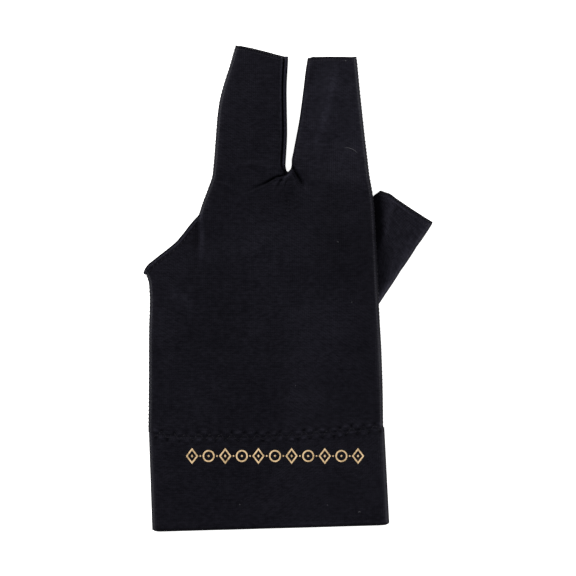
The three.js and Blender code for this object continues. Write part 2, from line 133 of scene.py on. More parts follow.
def cloudNoise(x, y, size, seed):  # soft bumps from -1 to 1
    grid = np.random.default_rng(seed).uniform(-1, 1, (128, 128))
    u, v = x / size + 40.5, y / size + 40.5
    i, j = np.floor(u).astype(int), np.floor(v).astype(int)
    s, t = smooth(u - i), smooth(v - j)

    def at(a, b):
        return grid[a % 128, b % 128]

    low = at(i, j) * (1 - s) + at(i + 1, j) * s
    high = at(i, j + 1) * (1 - s) + at(i + 1, j + 1) * s
    return low * (1 - t) + high * t


# Outline of the lying glove
outline = {
    "leftSide": [(-51.8, 0), (-51.6, 20), (-51.5, 45), (-51.3, 62), (-51.8, 67), (-53.3, 70.6)],
    "opening": [(-53.5, 70.8), (-52.4, 73.2), (-48.1, 77), (-43.6, 80.5), (-39.4, 84), (-36.3, 87.6),
                (-33.6, 91.1), (-30.9, 94.3), (-29.7, 95.7)],
    "middleOuter": [(-29.7, 95.7), (-27.8, 101.6), (-26.4, 105.2), (-25.1, 108.7), (-23.8, 112.4),
                    (-23.2, 117), (-22.7, 122.8), (-21.9, 133.3), (-21.3, 140.4), (-20.2, 147.4),
                    (-18.3, 154.4), (-16, 161.5), (-13.4, 170.6)],
    "middleInner": [(8.9, 114.5), (8.6, 117.5), (8.8, 121), (9.3, 130), (9.2, 142), (9.1, 151), (9.8, 165.4)],
    "indexInner": [(11.5, 114.8), (11.3, 117), (11.3, 119.4), (11.9, 122.8), (13.2, 129.8), (14.5, 136.8),
                   (15.5, 143.9), (16.4, 150.9), (17.5, 160), (18.3, 165.0)],
    "crotchSlant": 1.9,  # rise of the crotch's edge beside the index finger
    "crotchDip": 0.9,  # and its drop beside the middle finger
    "rightSide": [(51.6, 0), (51.3, 21.6), (50.7, 37.4), (49.9, 48), (49.2, 60), (48.1, 84.9),
                  (46.6, 105.2), (45.4, 112.2), (44.3, 122.8), (42.8, 136.8), (41.3, 150.9), (39.9, 165.6)],
    "middleTip": [(0, 0), (0.12, 0.4), (0.3, 0.5), (0.6, 0.35), (0.8, 0.1), (1, 0)],  # share across, rise
    "indexTip": [(0, 0), (0.08, 0.5), (0.4, 0.5), (1, 0)],
    "cuffEnd": [(-50.1, -42.5), (54.3, -39.6)],
    "seamBow": [(-51, 0.4), (-38, -1.2), (-7, -1.7), (15, -0.5), (37, 1.2), (51, 2.6)],  # x, rise of the seam
}
lines = {name: smoothLine(outline[name], 1.5) for name in
         ("leftSide", "opening", "middleOuter", "middleInner", "indexInner", "rightSide")}
crotchUp = glove["crotchUp"]


def rightEdge(y):
    return np.interp(y, lines["rightSide"][:, 1], lines["rightSide"][:, 0])


def crotchSlant(x, y):  # how far the crotch's edge slants upwards to the index finger
    left, right = lines["middleInner"][0, 0], lines["indexInner"][0, 0]
    side = np.clip((x - left) / (right - left), 0, 1) * (1 - smooth((x - 13) / 16))
    dip = bell(x - 8.3, 3.2) * (1 - np.clip((x - left) / 1.6, 0, 1))
    rising = outline["crotchSlant"] * side * bell(y - crotchUp, 5)
    return rising - outline["crotchDip"] * dip * bell(y - crotchUp, 3)


def seamBow(x, y):  # how far the cuff's seam strays from straight, dying away from it
    bow = np.interp(x, *np.array(outline["seamBow"]).T)
    return bow * smooth(1 - np.abs(y) / 38)


# The thumb's place under the palm
thumb = {
    "rootUp": 75.4,
    "rootInset": 5.6,
    "rootWidth": 44.6,
    "mouthWidth": 27.3,
    "length": 30.3,
    "lean": 52,
    "rootAngle": -78,
    "mouthAngle": -31,
    "heelDepth": 14,
    "height": 6.8,
    "clearance": 0.5,
    "mouthLine": [(0, -0.3), (0.18, 0.9), (0.26, 0.5), (0.6, 0.0), (1, -0.3)],  # share across, extra length
    "crease": [(54.2, 106), (52.4, 97), (50.2, 88.5), (48.2, 81)],
    "creaseDrop": 2.4,
    "rows": 44,
    "stops": (4.6, 11, 38),  # width of the finer side strips, and steps in them and between them
    "toolGrow": 0.3, "toolRows": 20, "toolStops": (4.6, 8, 20),  # for the body that cuts the palm
    "round": 4.2, "underRound": 3.6,
}
thumbRoot = np.array([rightEdge(thumb["rootUp"]) - thumb["rootInset"], thumb["rootUp"]])
thumbWay = np.array([math.cos(math.radians(thumb["lean"])), math.sin(math.radians(thumb["lean"]))])
thumbRise = thumb["height"] + thumb["clearance"]


def thumbAcross(turn):
    angle = math.radians(thumb["rootAngle"] + (thumb["mouthAngle"] - thumb["rootAngle"]) * turn)
    return np.array([math.cos(angle), math.sin(angle)])


thumbMouth = thumbRoot + thumbWay * thumb["length"]
thumbWeb = thumbMouth - thumbAcross(1) * thumb["mouthWidth"] / 2

# How the hand's cloth rides up over the thumb, as distances in from the right side
rise = {
    "palmStart": 27,
    "palmFull": 9,
    "backStart": 38,
    "backFull": 5,
    "fade": 24,
    "backFade": 37,
    "backFollow": 0.8,
    "low": thumb["rootUp"] - thumb["rootWidth"] / 2,
    "high": float(thumbWeb[1]),
}


def riseShare(x, y, start, full, fade=rise["fade"]):
    across = smooth((start - (rightEdge(y) - x)) / (start - full))
    low = smooth((y - rise["low"] + fade) / fade)
    high = 1 - smooth((y - rise["high"]) / rise["fade"])
    return across * low * high


# Folds in the back, each along a line: it drops on one side and is raised on the other; dark is painted shade
# in the crease, crest is where beside the line, how wide and how strong a painted highlight is. What a row
# leaves out is as in plainFold.
plainFold = {"drop": 0, "dropReach": 1, "raise": 0, "raiseReach": 1, "side": 1, "widen": 0, "dark": 0,
             "fadeIn": 0.1, "fadeOut": 0.5, "crest": (0, 1, 0)}
backFolds = [
    {"line": [(8.7, 114.1), (4, 111.9), (0.9, 110), (-3.5, 107.9), (-8, 105.9), (-11.5, 104.6)],
     "drop": 1.9, "dropReach": 0.48, "widen": 1.5, "raise": 0.8, "raiseReach": 0.6, "side": -1,
     "fadeIn": 0.01, "fadeOut": 1.0, "dark": 0.85, "crest": (-1.1, 0.3, 1.9)},
    {"line": [(11.7, 114.6), (13.4, 112.4), (15.9, 109.6), (17.6, 106.6)], "drop": 4.0, "dropReach": 1.1,
     "widen": -0.1, "raise": 0.9, "raiseReach": 0.7, "fadeIn": 0.01, "fadeOut": 0.7, "dark": 1.0,
     "crest": (1.3, 0.34, 1.6)},
    {"line": [(10.4, 113.5), (10.6, 108), (9.8, 99)], "raise": 0.9, "raiseReach": 2.6, "fadeOut": 0.8},
    {"line": [(10.8, 114.4), (12.6, 111.2), (13.8, 107)], "drop": 0.5, "dropReach": 0.6, "raise": 0.6,
     "raiseReach": 0.6, "side": -1, "fadeOut": 0.6, "crest": (0.5, 0.4, 1.0)},
    {"line": [(7.4, 112.6), (5.0, 108.4), (3.2, 104.5)], "drop": 0.45, "dropReach": 0.7, "raise": 0.5,
     "raiseReach": 0.7, "fadeOut": 0.7, "crest": (-0.7, 0.6, 0.4)},
    {"line": [(9.6, 113.2), (8.2, 108), (8.0, 104)], "drop": 0.4, "dropReach": 0.5, "raise": 0.4,
     "raiseReach": 0.6, "fadeOut": 0.7, "crest": (-0.6, 0.4, 0.4)},
    {"line": [(9.3, 108), (9.2, 102), (9.4, 95)], "drop": 0.45, "dropReach": 0.7, "fadeIn": 0.2,
     "fadeOut": 0.4},
    {"line": [(16.6, 108.6), (19.4, 105.4), (22, 104)], "raise": 0.4, "raiseReach": 0.7, "fadeIn": 0.2,
     "fadeOut": 0.7, "crest": (-0.4, 0.6, 0.7)},
    {"line": [(-28.3, 98), (-27.4, 88), (-28.0, 70)], "drop": 0.4, "dropReach": 2.6, "raise": 0.8,
     "raiseReach": 0.9, "fadeIn": 0.15, "crest": (-0.6, 0.9, 1.9)},
    {"line": [(-30.6, 96), (-30.2, 88), (-31, 76)], "crest": (0, 1.7, -0.45)},
    {"line": [(-3, 92), (2, 70), (9, 48)], "raise": 0.5, "raiseReach": 6, "fadeIn": 0.3,
     "crest": (0, 6, 0.3)},
    {"line": [(-42, 66), (-36, 58), (-31, 50)], "drop": 0.2, "dropReach": 4, "raise": 0.45,
     "raiseReach": 3.5, "fadeIn": 0.4, "crest": (0, 3, 0.6)},
    {"line": [(31.5, 162), (28, 148), (23, 130), (20, 121)], "raise": 0.7, "raiseReach": 2.0,
     "fadeIn": 0.2, "crest": (0, 1.7, 1.2)},
    {"line": [(17, 150), (20.5, 158), (23, 164)], "fadeIn": 0.3, "fadeOut": 0.3, "crest": (0, 2.4, -0.6)},
    {"line": [(-15, 118.6), (-6, 119.4), (5, 116.6)], "drop": 0.25, "dropReach": 1.8, "raise": 0.45,
     "raiseReach": 1.5, "fadeIn": 0.5, "fadeOut": 0.3},
    {"line": [(-23, 112.5), (-15, 109.5), (-6, 103)], "drop": 0.35, "dropReach": 2.6, "raise": 0.2,
     "raiseReach": 2, "fadeIn": 0.3},
    {"line": [(17, 112), (24, 112.5), (33, 110)], "drop": 0.35, "dropReach": 2.4, "raise": 0.3,
     "raiseReach": 1.8, "fadeIn": 0.3, "fadeOut": 0.6},
    {"line": [(15, 108), (17, 100), (18, 88)], "drop": 0.25, "dropReach": 2.4, "raise": 0.3,
     "raiseReach": 2.6, "side": -1, "fadeIn": 0.2, "fadeOut": 0.6},
]


def foldFields(folds, x, y):  # height of the folds, their painted crease shade and their painted crest highlights
    height, dark, light = np.zeros(x.shape), np.zeros(x.shape), np.zeros(x.shape)
    for row in folds:
        fold = {**plainFold, **row}
        distance, share, left = nearest(smoothLine(fold["line"], 2), x, y)
        grown = 1 + fold["widen"] * share
        distance, beside = distance / grown, left * fold["side"] / grown
        dropSide = np.where(beside > 0, distance * 1.2, distance * 2.6)
        fade = smooth(share / fold["fadeIn"]) * (1 - smooth((share - 1 + fold["fadeOut"]) / fold["fadeOut"]))
        raised = bell(beside + fold["raiseReach"] * 0.7, fold["raiseReach"])
        height += fade * (fold["raise"] * raised - fold["drop"] * bell(dropSide, fold["dropReach"]))
        dark += fade * fold["dark"] * bell(distance, fold["dropReach"] * 0.7)
        offset, reach, strength = fold["crest"]
        light += fade * strength * bell(beside - offset, reach)
    return height, np.clip(dark, 0, 1), light


paintedLightZones = (  # x, y, squeeze in x and in y, reach and strength of a patch painted lighter or darker
    (4, 103, 0.7, 1, 8, -0.25),
    (-30, 84, 1, 0.6, 5, -0.2),
    (32, 35, 1, 0.6, 22, 0.1),
    (-18, 118, 1, 0.6, 9, -0.15),
)


def paintedLightShare(x, y):  # painted highlights and painted shade on the back, with a faint random tone: how much lighter or darker its colour is made
    # painted highlights on fold crests and on the bumps beside the cuff's seam, and a faint random tone
    light = foldFields(backFolds, x, y)[2] + 0.9 * seamBlobs(x, y) + 0.13 * cloudNoise(x, y * 0.25, 8, 47)
    light += 0.62 * smooth((x - 10) / 5) * smooth((y - 106) / 30)  # index finger painted lighter, a painted highlight
    light += 0.09 * bell(x + 6, 10) * smooth((y - 112) / 20)  # middle finger painted a little lighter
    # painted shade on the right of the back, around the thumb's height
    light -= 0.28 * bell(y - 88, 22) * smooth((x - 10) / 14)
    for atX, atY, squeezeX, squeezeY, reach, strength in paintedLightZones:
        light += strength * bell(np.hypot((x - atX) * squeezeX, (y - atY) * squeezeY), reach)
    return light


# Wrinkles, puckers and bumps of the hand's cloth
relief = {
    "broad": 0.75, "broadSize": 26,
    "mid": 0.26, "midSize": 8,
    "fine": 0.06, "fineSize": 2.6,
    "edgeRidge": 0.3, "edgeRidgeAt": 1.7, "edgeRidgeReach": 0.6,
    "edgePucker": 0.16, "edgePuckerPitch": 1.9,
    "cuffPucker": 0.6, "cuffPuckerPitch": 5.2, "cuffPit": 0.5, "cuffGroove": 0.12,
    "cuffSway": 0.75, "cuffSwaySize": 5,
    "pitAt": 1.7, "blobAbove": 1.6, "blobBelow": 1.3, "blobReach": 0.75,
    "ladder": 0.3, "ladderPitch": 1.7, "ladderAt": (9.6, 102), "ladderReach": (1.1, 5.5),
    "ruffle": 0.14, "rufflePitch": 1.9, "ruffleAt": (-15.5, 102.5), "ruffleReach": (4, 4.5),
}


def clothRelief(x, y, seed):
    height = relief["broad"] * cloudNoise(x, y * 0.8, relief["broadSize"], seed)
    height += relief["mid"] * cloudNoise(x * 0.7 + y * 0.5, y - x * 0.4, relief["midSize"], seed + 1)
    return height + relief["fine"] * cloudNoise(x, y, relief["fineSize"], seed + 2)


def seamSway(x):  # how far the rows of bumps and pits sway up and down
    return relief["cuffSway"] * cloudNoise(x, x * 0, relief["cuffSwaySize"], 36)


def stitchPhase(x):  # the cuff's zigzag stitch, as an angle along the seam
    return 2 * math.pi * x / relief["cuffPuckerPitch"] + 0.9 * cloudNoise(x, x * 0, 11, 33)


def seamPits(x, fromSeam):  # where the cuff's zigzag stitch pulls the cloth in
    fromSeam, wave = fromSeam + seamSway(x), np.sin(stitchPhase(x))
    uneven = 0.95 + 0.6 * cloudNoise(x, x * 0, 4, 34)
    above = smooth((wave - 0.55) / 0.45) * bell(fromSeam - relief["pitAt"], relief["blobReach"])
    below = smooth((-wave - 0.55) / 0.45) * bell(fromSeam + relief["pitAt"], relief["blobReach"])
    return np.clip(uneven * (above + below), 0, 1)


def seamBlobs(x, fromSeam):  # bumps above and below the cuff's seam, in step with its zigzag stitch
    fromSeam, wave = fromSeam + seamSway(x), np.sin(stitchPhase(x))
    uneven = 1.05 + 0.7 * cloudNoise(x, fromSeam * 0.6, 3.5, 31)
    above = smooth((-wave - 0.2) / 0.7) * bell(fromSeam - relief["blobAbove"], relief["blobReach"])
    below = smooth((wave - 0.2) / 0.7) * bell(fromSeam + relief["blobBelow"], relief["blobReach"])
    return uneven * (above + below)


def cuffPucker(x, fromSeam):
    drawn = relief["cuffPit"] * seamPits(x, fromSeam) + relief["cuffGroove"] * bell(fromSeam, 0.5)
    return relief["cuffPucker"] * seamBlobs(x, fromSeam) - drawn


outerSeams = ("leftSide", "middleOuter", "rightSide")


def seamFields(x, y, peek):  # distance to the nearest seam, and the inner seams' share in it
    bare = smooth((lines["middleInner"][:, 1:] - crotchUp + 0.3) / 4.5)
    innerMiddle = lines["middleInner"] - np.array([peek, 0]) * bare
    inner = np.concatenate([innerMiddle[::-1], lines["indexInner"]])
    outerDistance = np.min([nearest(lines[name], x, y)[0] for name in outerSeams], axis=0)
    innerDistance = nearest(inner, x, y)[0]
    innerShare = smooth(0.5 + (outerDistance - innerDistance) / 21)
    return np.minimum(outerDistance, innerDistance), innerShare


tips = {"middleTip": ("middleOuter", "middleInner"), "indexTip": ("indexInner", "rightSide")}


def tipLine(name, inset):  # line across a finger's tip, a little way down from it
    left, right = (lines[side][-1].copy() for side in tips[name])
    if name == "middleTip":
        right[0] -= glove["peek"]
    share = np.linspace(0.03, 0.97, 60)
    plan = left + share[:, None] * (right - left)
    plan[:, 1] += np.interp(share, *np.array(outline[name]).T) - inset - glove["tipOverlap"]
    return plan


# painted highlight lines beside the edges and the strip's groove, and painted dark outlines along the edges
border = {"at": 1.15, "reach": 0.32, "light": 1.1, "dark": 0.95, "darkReach": 0.7,
          "grooveAt": 0.85, "groove": 2.6, "grooveTip": 0.9,
          "hemAt": 2.35, "hemReach": 0.42, "hemDark": 0.9, "hemPitch": 3.1,
          "hemFrom": 68, "hemTo": 97, "hemRight": -28}


def borderLines(x, y, edge):  # painted highlight line beside the edges and beside the strip's groove, and the edges' painted dark outline
    tip = np.min([nearest(tipLine(name, 0)[::6], x, y)[0] for name in tips], axis=0)
    uneven = 0.8 + 0.4 * cloudNoise(x, y, 4, 41)
    light = border["light"] * uneven * bell(np.minimum(edge, tip) - border["at"], border["reach"])
    dark = border["dark"] * bell(np.minimum(edge, tip), border["darkReach"])
    inner = lines["middleInner"][3:] - np.array([glove["peek"], 0])
    groove = bell(nearest(inner, x, y)[0] - border["grooveAt"], border["reach"])
    grooveLight = border["groove"] * (1 + border["grooveTip"] * smooth((y - 138) / 20))
    return light + groove * grooveLight, dark * (1 - 0.8 * groove)


def hemPitShade(x, y):  # painted shade: dark broken line where the opening's hem is sewn down and its stitches pull the cloth in
    within = smooth((y - border["hemFrom"]) / 3) * smooth((border["hemTo"] - y) / 3)
    within = within * smooth((border["hemRight"] - x) / 2)
    broken = 0.6 + 0.4 * np.sin(2 * math.pi * (x + y) / border["hemPitch"] + cloudNoise(x, y, 5, 43))
    fromHem = nearest(lines["opening"], x, y)[0]
    return border["hemDark"] * within * broken * bell(fromHem - border["hemAt"], border["hemReach"])


def spot(x, y, at, reach):  # 1 at a place, dying away round it
    return bell(x - at[0], reach[0]) * bell(y - at[1], reach[1])


def backHeight(x, y):
    distance, innerShare = seamFields(x, y, glove["peek"])
    strip = (glove["fourchetteHeight"] + glove["seamGap"]) * innerShare
    rim = glove["seam"] + strip + thumbRise * riseShare(x, y, rise["palmStart"], rise["palmFull"])
    backRise = riseShare(x, y, rise["backStart"], rise["backFull"], rise["backFade"])
    top = glove["lying"] + rise["backFollow"] * thumbRise * backRise
    body = clothRelief(x, y, 11) + foldFields(backFolds, x, y)[0]
    body += relief["edgeRidge"] * bell(distance - relief["edgeRidgeAt"], relief["edgeRidgeReach"])
    pucker = np.sin(2 * math.pi * (y + 0.4 * x) / relief["edgePuckerPitch"] + 2 * cloudNoise(x, y, 9, 5))
    body += relief["edgePucker"] * pucker * bell(distance - 2, 1.8)
    body += cuffPucker(x, y)
    ladder = spot(x, y, relief["ladderAt"], relief["ladderReach"])
    body += relief["ladder"] * ladder * np.sin(2 * math.pi * y / relief["ladderPitch"])
    ruffle = spot(x, y, relief["ruffleAt"], relief["ruffleReach"])
    body += relief["ruffle"] * ruffle * np.sin(2 * math.pi * (0.8 * x + 0.6 * y) / relief["rufflePitch"])
    return rim + (np.maximum(top + body, rim + 0.9) - rim) * roundShare(distance / glove["sideRound"])


def palmHeight(x, y):
    distance, _ = seamFields(x, y, 0)
    lift = thumbRise * riseShare(x, y, rise["palmStart"], rise["palmFull"])
    rim = glove["seam"] - 0.05
    wrinkle = np.abs(clothRelief(x, y, 51)) * 0.5 * smooth(distance / 8)
    return lift + wrinkle + (rim - wrinkle) * (1 - roundShare(distance / glove["floorRound"]))


# Meshes

def addObject(name, data):
    made = bpy.data.objects.new(name, data)
    bpy.context.scene.collection.objects.link(made)
    return made


def makeMesh(name, points, faces, uv, material, sharp=48, shade=None, paintedLight=None):
    mesh = bpy.data.meshes.new(name)
    mesh.from_pydata(placed(points).tolist(), [], faces)
    layer = mesh.uv_layers.new(name="cloth")
    corners = np.empty(len(mesh.loops), dtype=np.int32)
    mesh.loops.foreach_get("vertex_index", corners)
    layer.data.foreach_set("uv", (np.asarray(uv)[corners] * mm).astype(np.float32).ravel())
    for layerName, values in (("shade", shade), ("paintedLight", paintedLight)):  # painted shade in creases, pits, along edges and on inner faces; painted highlights on crests, seams and edge lines
        if values is not None:
            mesh.attributes.new(layerName, "FLOAT", "POINT").data.foreach_set("value", np.float32(values))
    mesh.materials.append(material)
    mesh.shade_smooth()
    mesh.set_sharp_from_angle(angle=math.radians(sharp))
    mesh.validate()
    return addObject(name, mesh)


def gridNormals(points, filled):
    rows, cols = points.shape[:2]
    index = np.arange(rows * cols).reshape(rows, cols)
    flat = points.reshape(-1, 3)
    a, b = index[:-1, :-1][filled], index[:-1, 1:][filled]
    c, d = index[1:, 1:][filled], index[1:, :-1][filled]
    face = np.cross(flat[c] - flat[a], flat[d] - flat[b])
    normals = np.zeros_like(flat)
    for corner in (a, b, c, d):
        np.add.at(normals, corner, face)
    normals /= np.maximum(np.linalg.norm(normals, axis=1, keepdims=True), 1e-12)
    return normals.reshape(rows, cols, 3)


def sheetBody(upper, lower, filled, edgeRound):  # closed body between two faces of a cloth, with round edges
    rows, cols = upper.shape[:2]
    count = rows * cols
    index = np.arange(count).reshape(rows, cols)
    a, b, c, d = index[:-1, :-1], index[:-1, 1:], index[1:, 1:], index[1:, :-1]
    quads = np.stack([a, b, c, d], axis=-1)[filled]
    faces = np.concatenate([quads, quads[:, ::-1] + count])
    padded = np.zeros((rows + 1, cols + 1), dtype=bool)
    padded[1:-1, 1:-1] = filled
    edges = np.concatenate([
        np.stack([a, b], -1)[filled & ~padded[:-2, 1:-1]], np.stack([b, c], -1)[filled & ~padded[1:-1, 2:]],
        np.stack([c, d], -1)[filled & ~padded[2:, 1:-1]], np.stack([d, a], -1)[filled & ~padded[1:-1, :-2]],
    ])
    high, low = upper.reshape(-1, 3), lower.reshape(-1, 3)
    rim = np.unique(edges)
    place = np.full(count, -1)
    place[rim] = np.arange(len(rim))
    run = high[edges[:, 1]] - high[edges[:, 0]]
    outward = np.zeros((len(rim), 3))
    wallWay = high - low
    for end in (0, 1):
        np.add.at(outward, place[edges[:, end]], np.cross(run, wallWay[edges[:, end]]))
    outward /= np.maximum(np.linalg.norm(outward, axis=1, keepdims=True), 1e-12)
    bulge = np.where(rim < cols, 0.02, edgeRound)  # the first row meets the cuff
    middle = (high[rim] + low[rim]) / 2 + outward * bulge[:, None]
    mid = place + 2 * count
    start, end = edges[:, 0], edges[:, 1]
    walls = np.concatenate([
        np.stack([end, start, mid[start], mid[end]], -1),
        np.stack([mid[end], mid[start], start + count, end + count], -1),
    ])
    points = np.concatenate([high, low, middle])
    used = np.unique(np.concatenate([faces.ravel(), walls.ravel()]))
    renumber = np.full(len(points), -1)
    renumber[used] = np.arange(len(used))
    source = np.concatenate([np.arange(count), np.arange(count), rim])[used]
    face = np.repeat([0, 1, 2], [count, count, len(rim)])[used]  # upper, lower or rim
    return points[used], renumber[np.concatenate([faces, walls])].tolist(), source, face


def ringBody(rings, closed):  # skin over rings, joined end to end or capped
    count, size = rings.shape[:2]
    index = np.arange(count * size).reshape(count, size)
    if closed:
        index = np.concatenate([index, index[:1]])
    around = np.concatenate([index, index[:, :1]], axis=1)
    quads = np.stack([around[:-1, :-1], around[:-1, 1:], around[1:, 1:], around[1:, :-1]], -1).reshape(-1, 4)
    faces = quads.tolist()
    if not closed:
        faces.append(index[0][::-1].tolist())
        faces.append(index[-1].tolist())
    points = rings.reshape(-1, 3)
    tri = np.array([[f[0], f[1], f[2]] for f in faces])
    if np.einsum("ij,ij->i", points[tri[:, 0]], np.cross(points[tri[:, 1]], points[tri[:, 2]])).sum() < 0:
        faces = [face[::-1] for face in faces]
    return points, faces


def addBody(points, faces, rings, closed):  # one more body in a mesh's lists
    more, quads = ringBody(rings, closed)
    faces.extend([[k + len(points) for k in face] for face in quads])
    points.extend(more.tolist())


def ringUv(rings):
    wrapped = np.concatenate([rings, rings[:, :1]], axis=1)
    around = np.cumsum(np.linalg.norm(np.diff(wrapped, axis=1), axis=2), axis=1)
    u = np.concatenate([np.zeros((len(rings), 1)), around[:, :-1]], axis=1)
    steps = np.linalg.norm(np.diff(rings.mean(axis=1), axis=0), axis=1)
    v = np.concatenate([[0], np.cumsum(steps)])[:, None] * np.ones(rings.shape[1])
    return np.stack([u, v], -1).reshape(-1, 2)


def sideStops(width, strip, stripSteps, middleSteps, crowding=1):  # stops across a width, close at its ends
    strip = min(strip, width * 0.4)
    near = strip * (np.arange(stripSteps) / stripSteps) ** 1.8
    share = np.linspace(0, 1, middleSteps + 1)
    share = 1 - (1 - share) ** crowding if crowding > 0 else share ** -crowding
    return np.concatenate([near, strip + (width - 2 * strip) * share, (width - near)[::-1]])


print("tools ready")


# Shader maths: numbers and sockets put together as Python expressions

class Wire:
    def __init__(self, tree, socket):
        self.tree, self.socket = tree, socket

    def node(self, kind, values=None, output=0, **settings):  # any other node
        made = self.tree.nodes.new(kind)
        for name, value in settings.items():
            setattr(made, name, value)
        for name, value in (values or {}).items():
            if isinstance(value, Wire):
                self.tree.links.new(value.socket, made.inputs[name])
            else:
                made.inputs[name].default_value = value
        return Wire(self.tree, made.outputs[output])

    def maths(self, operation, *values):
        return self.node("ShaderNodeMath", dict(enumerate(values)), operation=operation)

    def __add__(self, other):
        return self.maths("ADD", self, other)

    def __sub__(self, other):
        return self.maths("SUBTRACT", self, other)

    def __rsub__(self, other):
        return self.maths("SUBTRACT", other, self)

    def __mul__(self, other):
        return self.maths("MULTIPLY", self, other)

    __radd__, __rmul__ = __add__, __mul__

    def sine(self):
        return self.maths("SINE", self)

    def between(self, low, high):  # 0 below low, 1 above high
        return self.node("ShaderNodeMapRange", {"Value": self, "From Min": low, "From Max": high},
                         interpolation_type="SMOOTHSTEP")

    def mix(self, first, second):  # colours mixed by this share
        return self.node("ShaderNodeMix", {"Factor": self, 6: first, 7: second}, output=2, data_type="RGBA")

    def noise(self, where, scale, detail=2.0, roughness=0.5):
        return self.node("ShaderNodeTexNoise", {"Vector": where, "Scale": scale, "Detail": detail,
                                                "Roughness": roughness})


def newMaterial(name):
    material = bpy.data.materials.new(name)
    material.use_nodes = True
    tree = material.node_tree
    shader = tree.nodes["Principled BSDF"]
    return material, Wire(tree, None), shader


def give(shader, **values):  # plain numbers and colours straight on the shader's sockets
    for name, value in values.items():
        socket = shader.inputs[name.replace("_", " ")]
        socket.default_value = (*value, 1) if isinstance(value, tuple) else value


def feed(shader, name, wire):
    wire.tree.links.new(wire.socket, shader.inputs[name])


def feedBump(shader, height, strength):  # height in metres
    feed(shader, "Normal",
         height.node("ShaderNodeBump", {"Height": height, "Strength": strength, "Distance": 1.0}))


knit = {
    "waleWidth": 0.92, "courseHeight": 1.02,  # millimetres
    "waleDepth": 0.12, "fuzzDepth": 0.15, "streakDepth": 0.16,
    "fuzzSize": 0.9, "streakSize": 1.2, "streakStretch": 2.2, "twillPitch": 1.35, "twillZone": 26,
    "mottleSize": 5.0, "cloudSize": 34,
    "lintScale": 105.0, "lintSize": (0.012, 0.03), "lintZone": 61.0, "lintTone": (0.09, 0.088, 0.1),
    "specular": 0.045, "specularTint": (0.82, 0.78, 1.0), "roughness": 0.66,
    # innerShare is the share of the base colour left under full painted shade; the gain after it sets how far
    # painted highlights lighten it
    "sheenRoughness": 0.42, "sheenTint": (0.72, 0.68, 1.0), "innerShare": 0.25, "paintedLightGain": 0.8,
}


def knitMaterial(name, dark, light, sheen, speck=0.5, rib=1.0):
    material, start, shader = newMaterial(name)
    where = start.node("ShaderNodeTexCoord", output="Object")
    along = start.node("ShaderNodeUVMap", uv_map="cloth")
    u = start.node("ShaderNodeSeparateXYZ", {0: along}, output=0)
    v = start.node("ShaderNodeSeparateXYZ", {0: along}, output=1)
    drift = where.noise(where, 900 / knit["mottleSize"], 2)
    wale = (u * (2 * math.pi / (knit["waleWidth"] * mm)) + drift * 5).sine() * 0.5 + 0.5
    course = (v * (2 * math.pi / (knit["courseHeight"] * mm)) + drift * 4).sine() * 0.5 + 0.5
    loop = wale * (course * 0.45 + 0.55) * rib
    fuzz = where.noise(where, 1000 / knit["fuzzSize"], 4, 0.7)
    mottle = where.noise(where, 1000 / knit["mottleSize"], 3, 0.6)
    cloud = where.noise(where, 1000 / knit["cloudSize"], 2)
    stretched = along.node("ShaderNodeVectorMath", {0: along, 1: (1 / knit["streakStretch"], 1, 1)},
                           operation="MULTIPLY")
    streak = where.noise(stretched, 1000 / knit["streakSize"], 3, 0.6)
    twill = ((u * 0.6 + v) * (2 * math.pi / (knit["twillPitch"] * mm)) + drift * 5).sine() * 0.5 + 0.5
    twillShare = where.noise(where, 1000 / knit["twillZone"], 1).between(0.5, 0.6) * rib
    pattern = streak * 1.5 + fuzz * 0.55 + loop * 0.1 + course * 0.09 * rib + twill * twillShare * 0.2
    tone = (pattern + mottle * 0.5 + cloud * 0.35 - 1.11).between(0.0, 1.0)
    # painted highlights and painted shade, carried by a point attribute, lighten or darken the base colour
    paintedLight = start.node("ShaderNodeAttribute", attribute_name="paintedLight", output="Fac")
    plain = tone.mix((*dark, 1), (*light, 1))
    gain = paintedLight * knit["paintedLightGain"] + 1
    base = plain.node("ShaderNodeVectorMath", {0: plain, "Scale": gain}, operation="SCALE")
    lint = where.node("ShaderNodeTexVoronoi",
                      {"Vector": where, "Scale": knit["lintScale"], "Randomness": 1.0})
    lintZone = where.noise(where, knit["lintZone"], 1).between(0.57, 0.62)
    lintMask = (1 - lint.between(*knit["lintSize"])) * lintZone * speck
    # painted shade: the shade attribute darkens the base colour in creases, stitch pits, along edges and on
    # inner faces, and roughens it
    paintedShade = start.node("ShaderNodeAttribute", attribute_name="shade", output="Fac")
    dim = (paintedShade * (1 - knit["innerShare"])).mix(base, (0, 0, 0, 1))
    feed(shader, "Base Color", lintMask.mix(dim, (*knit["lintTone"], 1)))
    feed(shader, "Roughness", fuzz * 0.16 + paintedShade * 0.3 + (knit["roughness"] - 0.08))
    height = (loop * knit["waleDepth"] + fuzz * knit["fuzzDepth"] + streak * knit["streakDepth"]) * mm
    feedBump(shader, height, 0.75)
    give(shader, Specular_IOR_Level=knit["specular"], Specular_Tint=knit["specularTint"], Sheen_Weight=sheen,
         Sheen_Roughness=knit["sheenRoughness"], Sheen_Tint=knit["sheenTint"])
    return material


print("materials")
handKnit = knitMaterial("handKnit", (0.0026, 0.0025, 0.0039), (0.0077, 0.0075, 0.0109), 0.01)
thumbKnit = knitMaterial("thumbKnit", (0.0038, 0.0037, 0.0057), (0.0120, 0.0117, 0.0168), 0.012)
cuffKnit = knitMaterial("cuffKnit", (0.0026, 0.0025, 0.0039), (0.0078, 0.0076, 0.0111), 0.01, 0.6)
seamKnit = knitMaterial("seamKnit", (0.003, 0.0029, 0.0045), (0.0098, 0.0094, 0.0139), 0.015, 0)


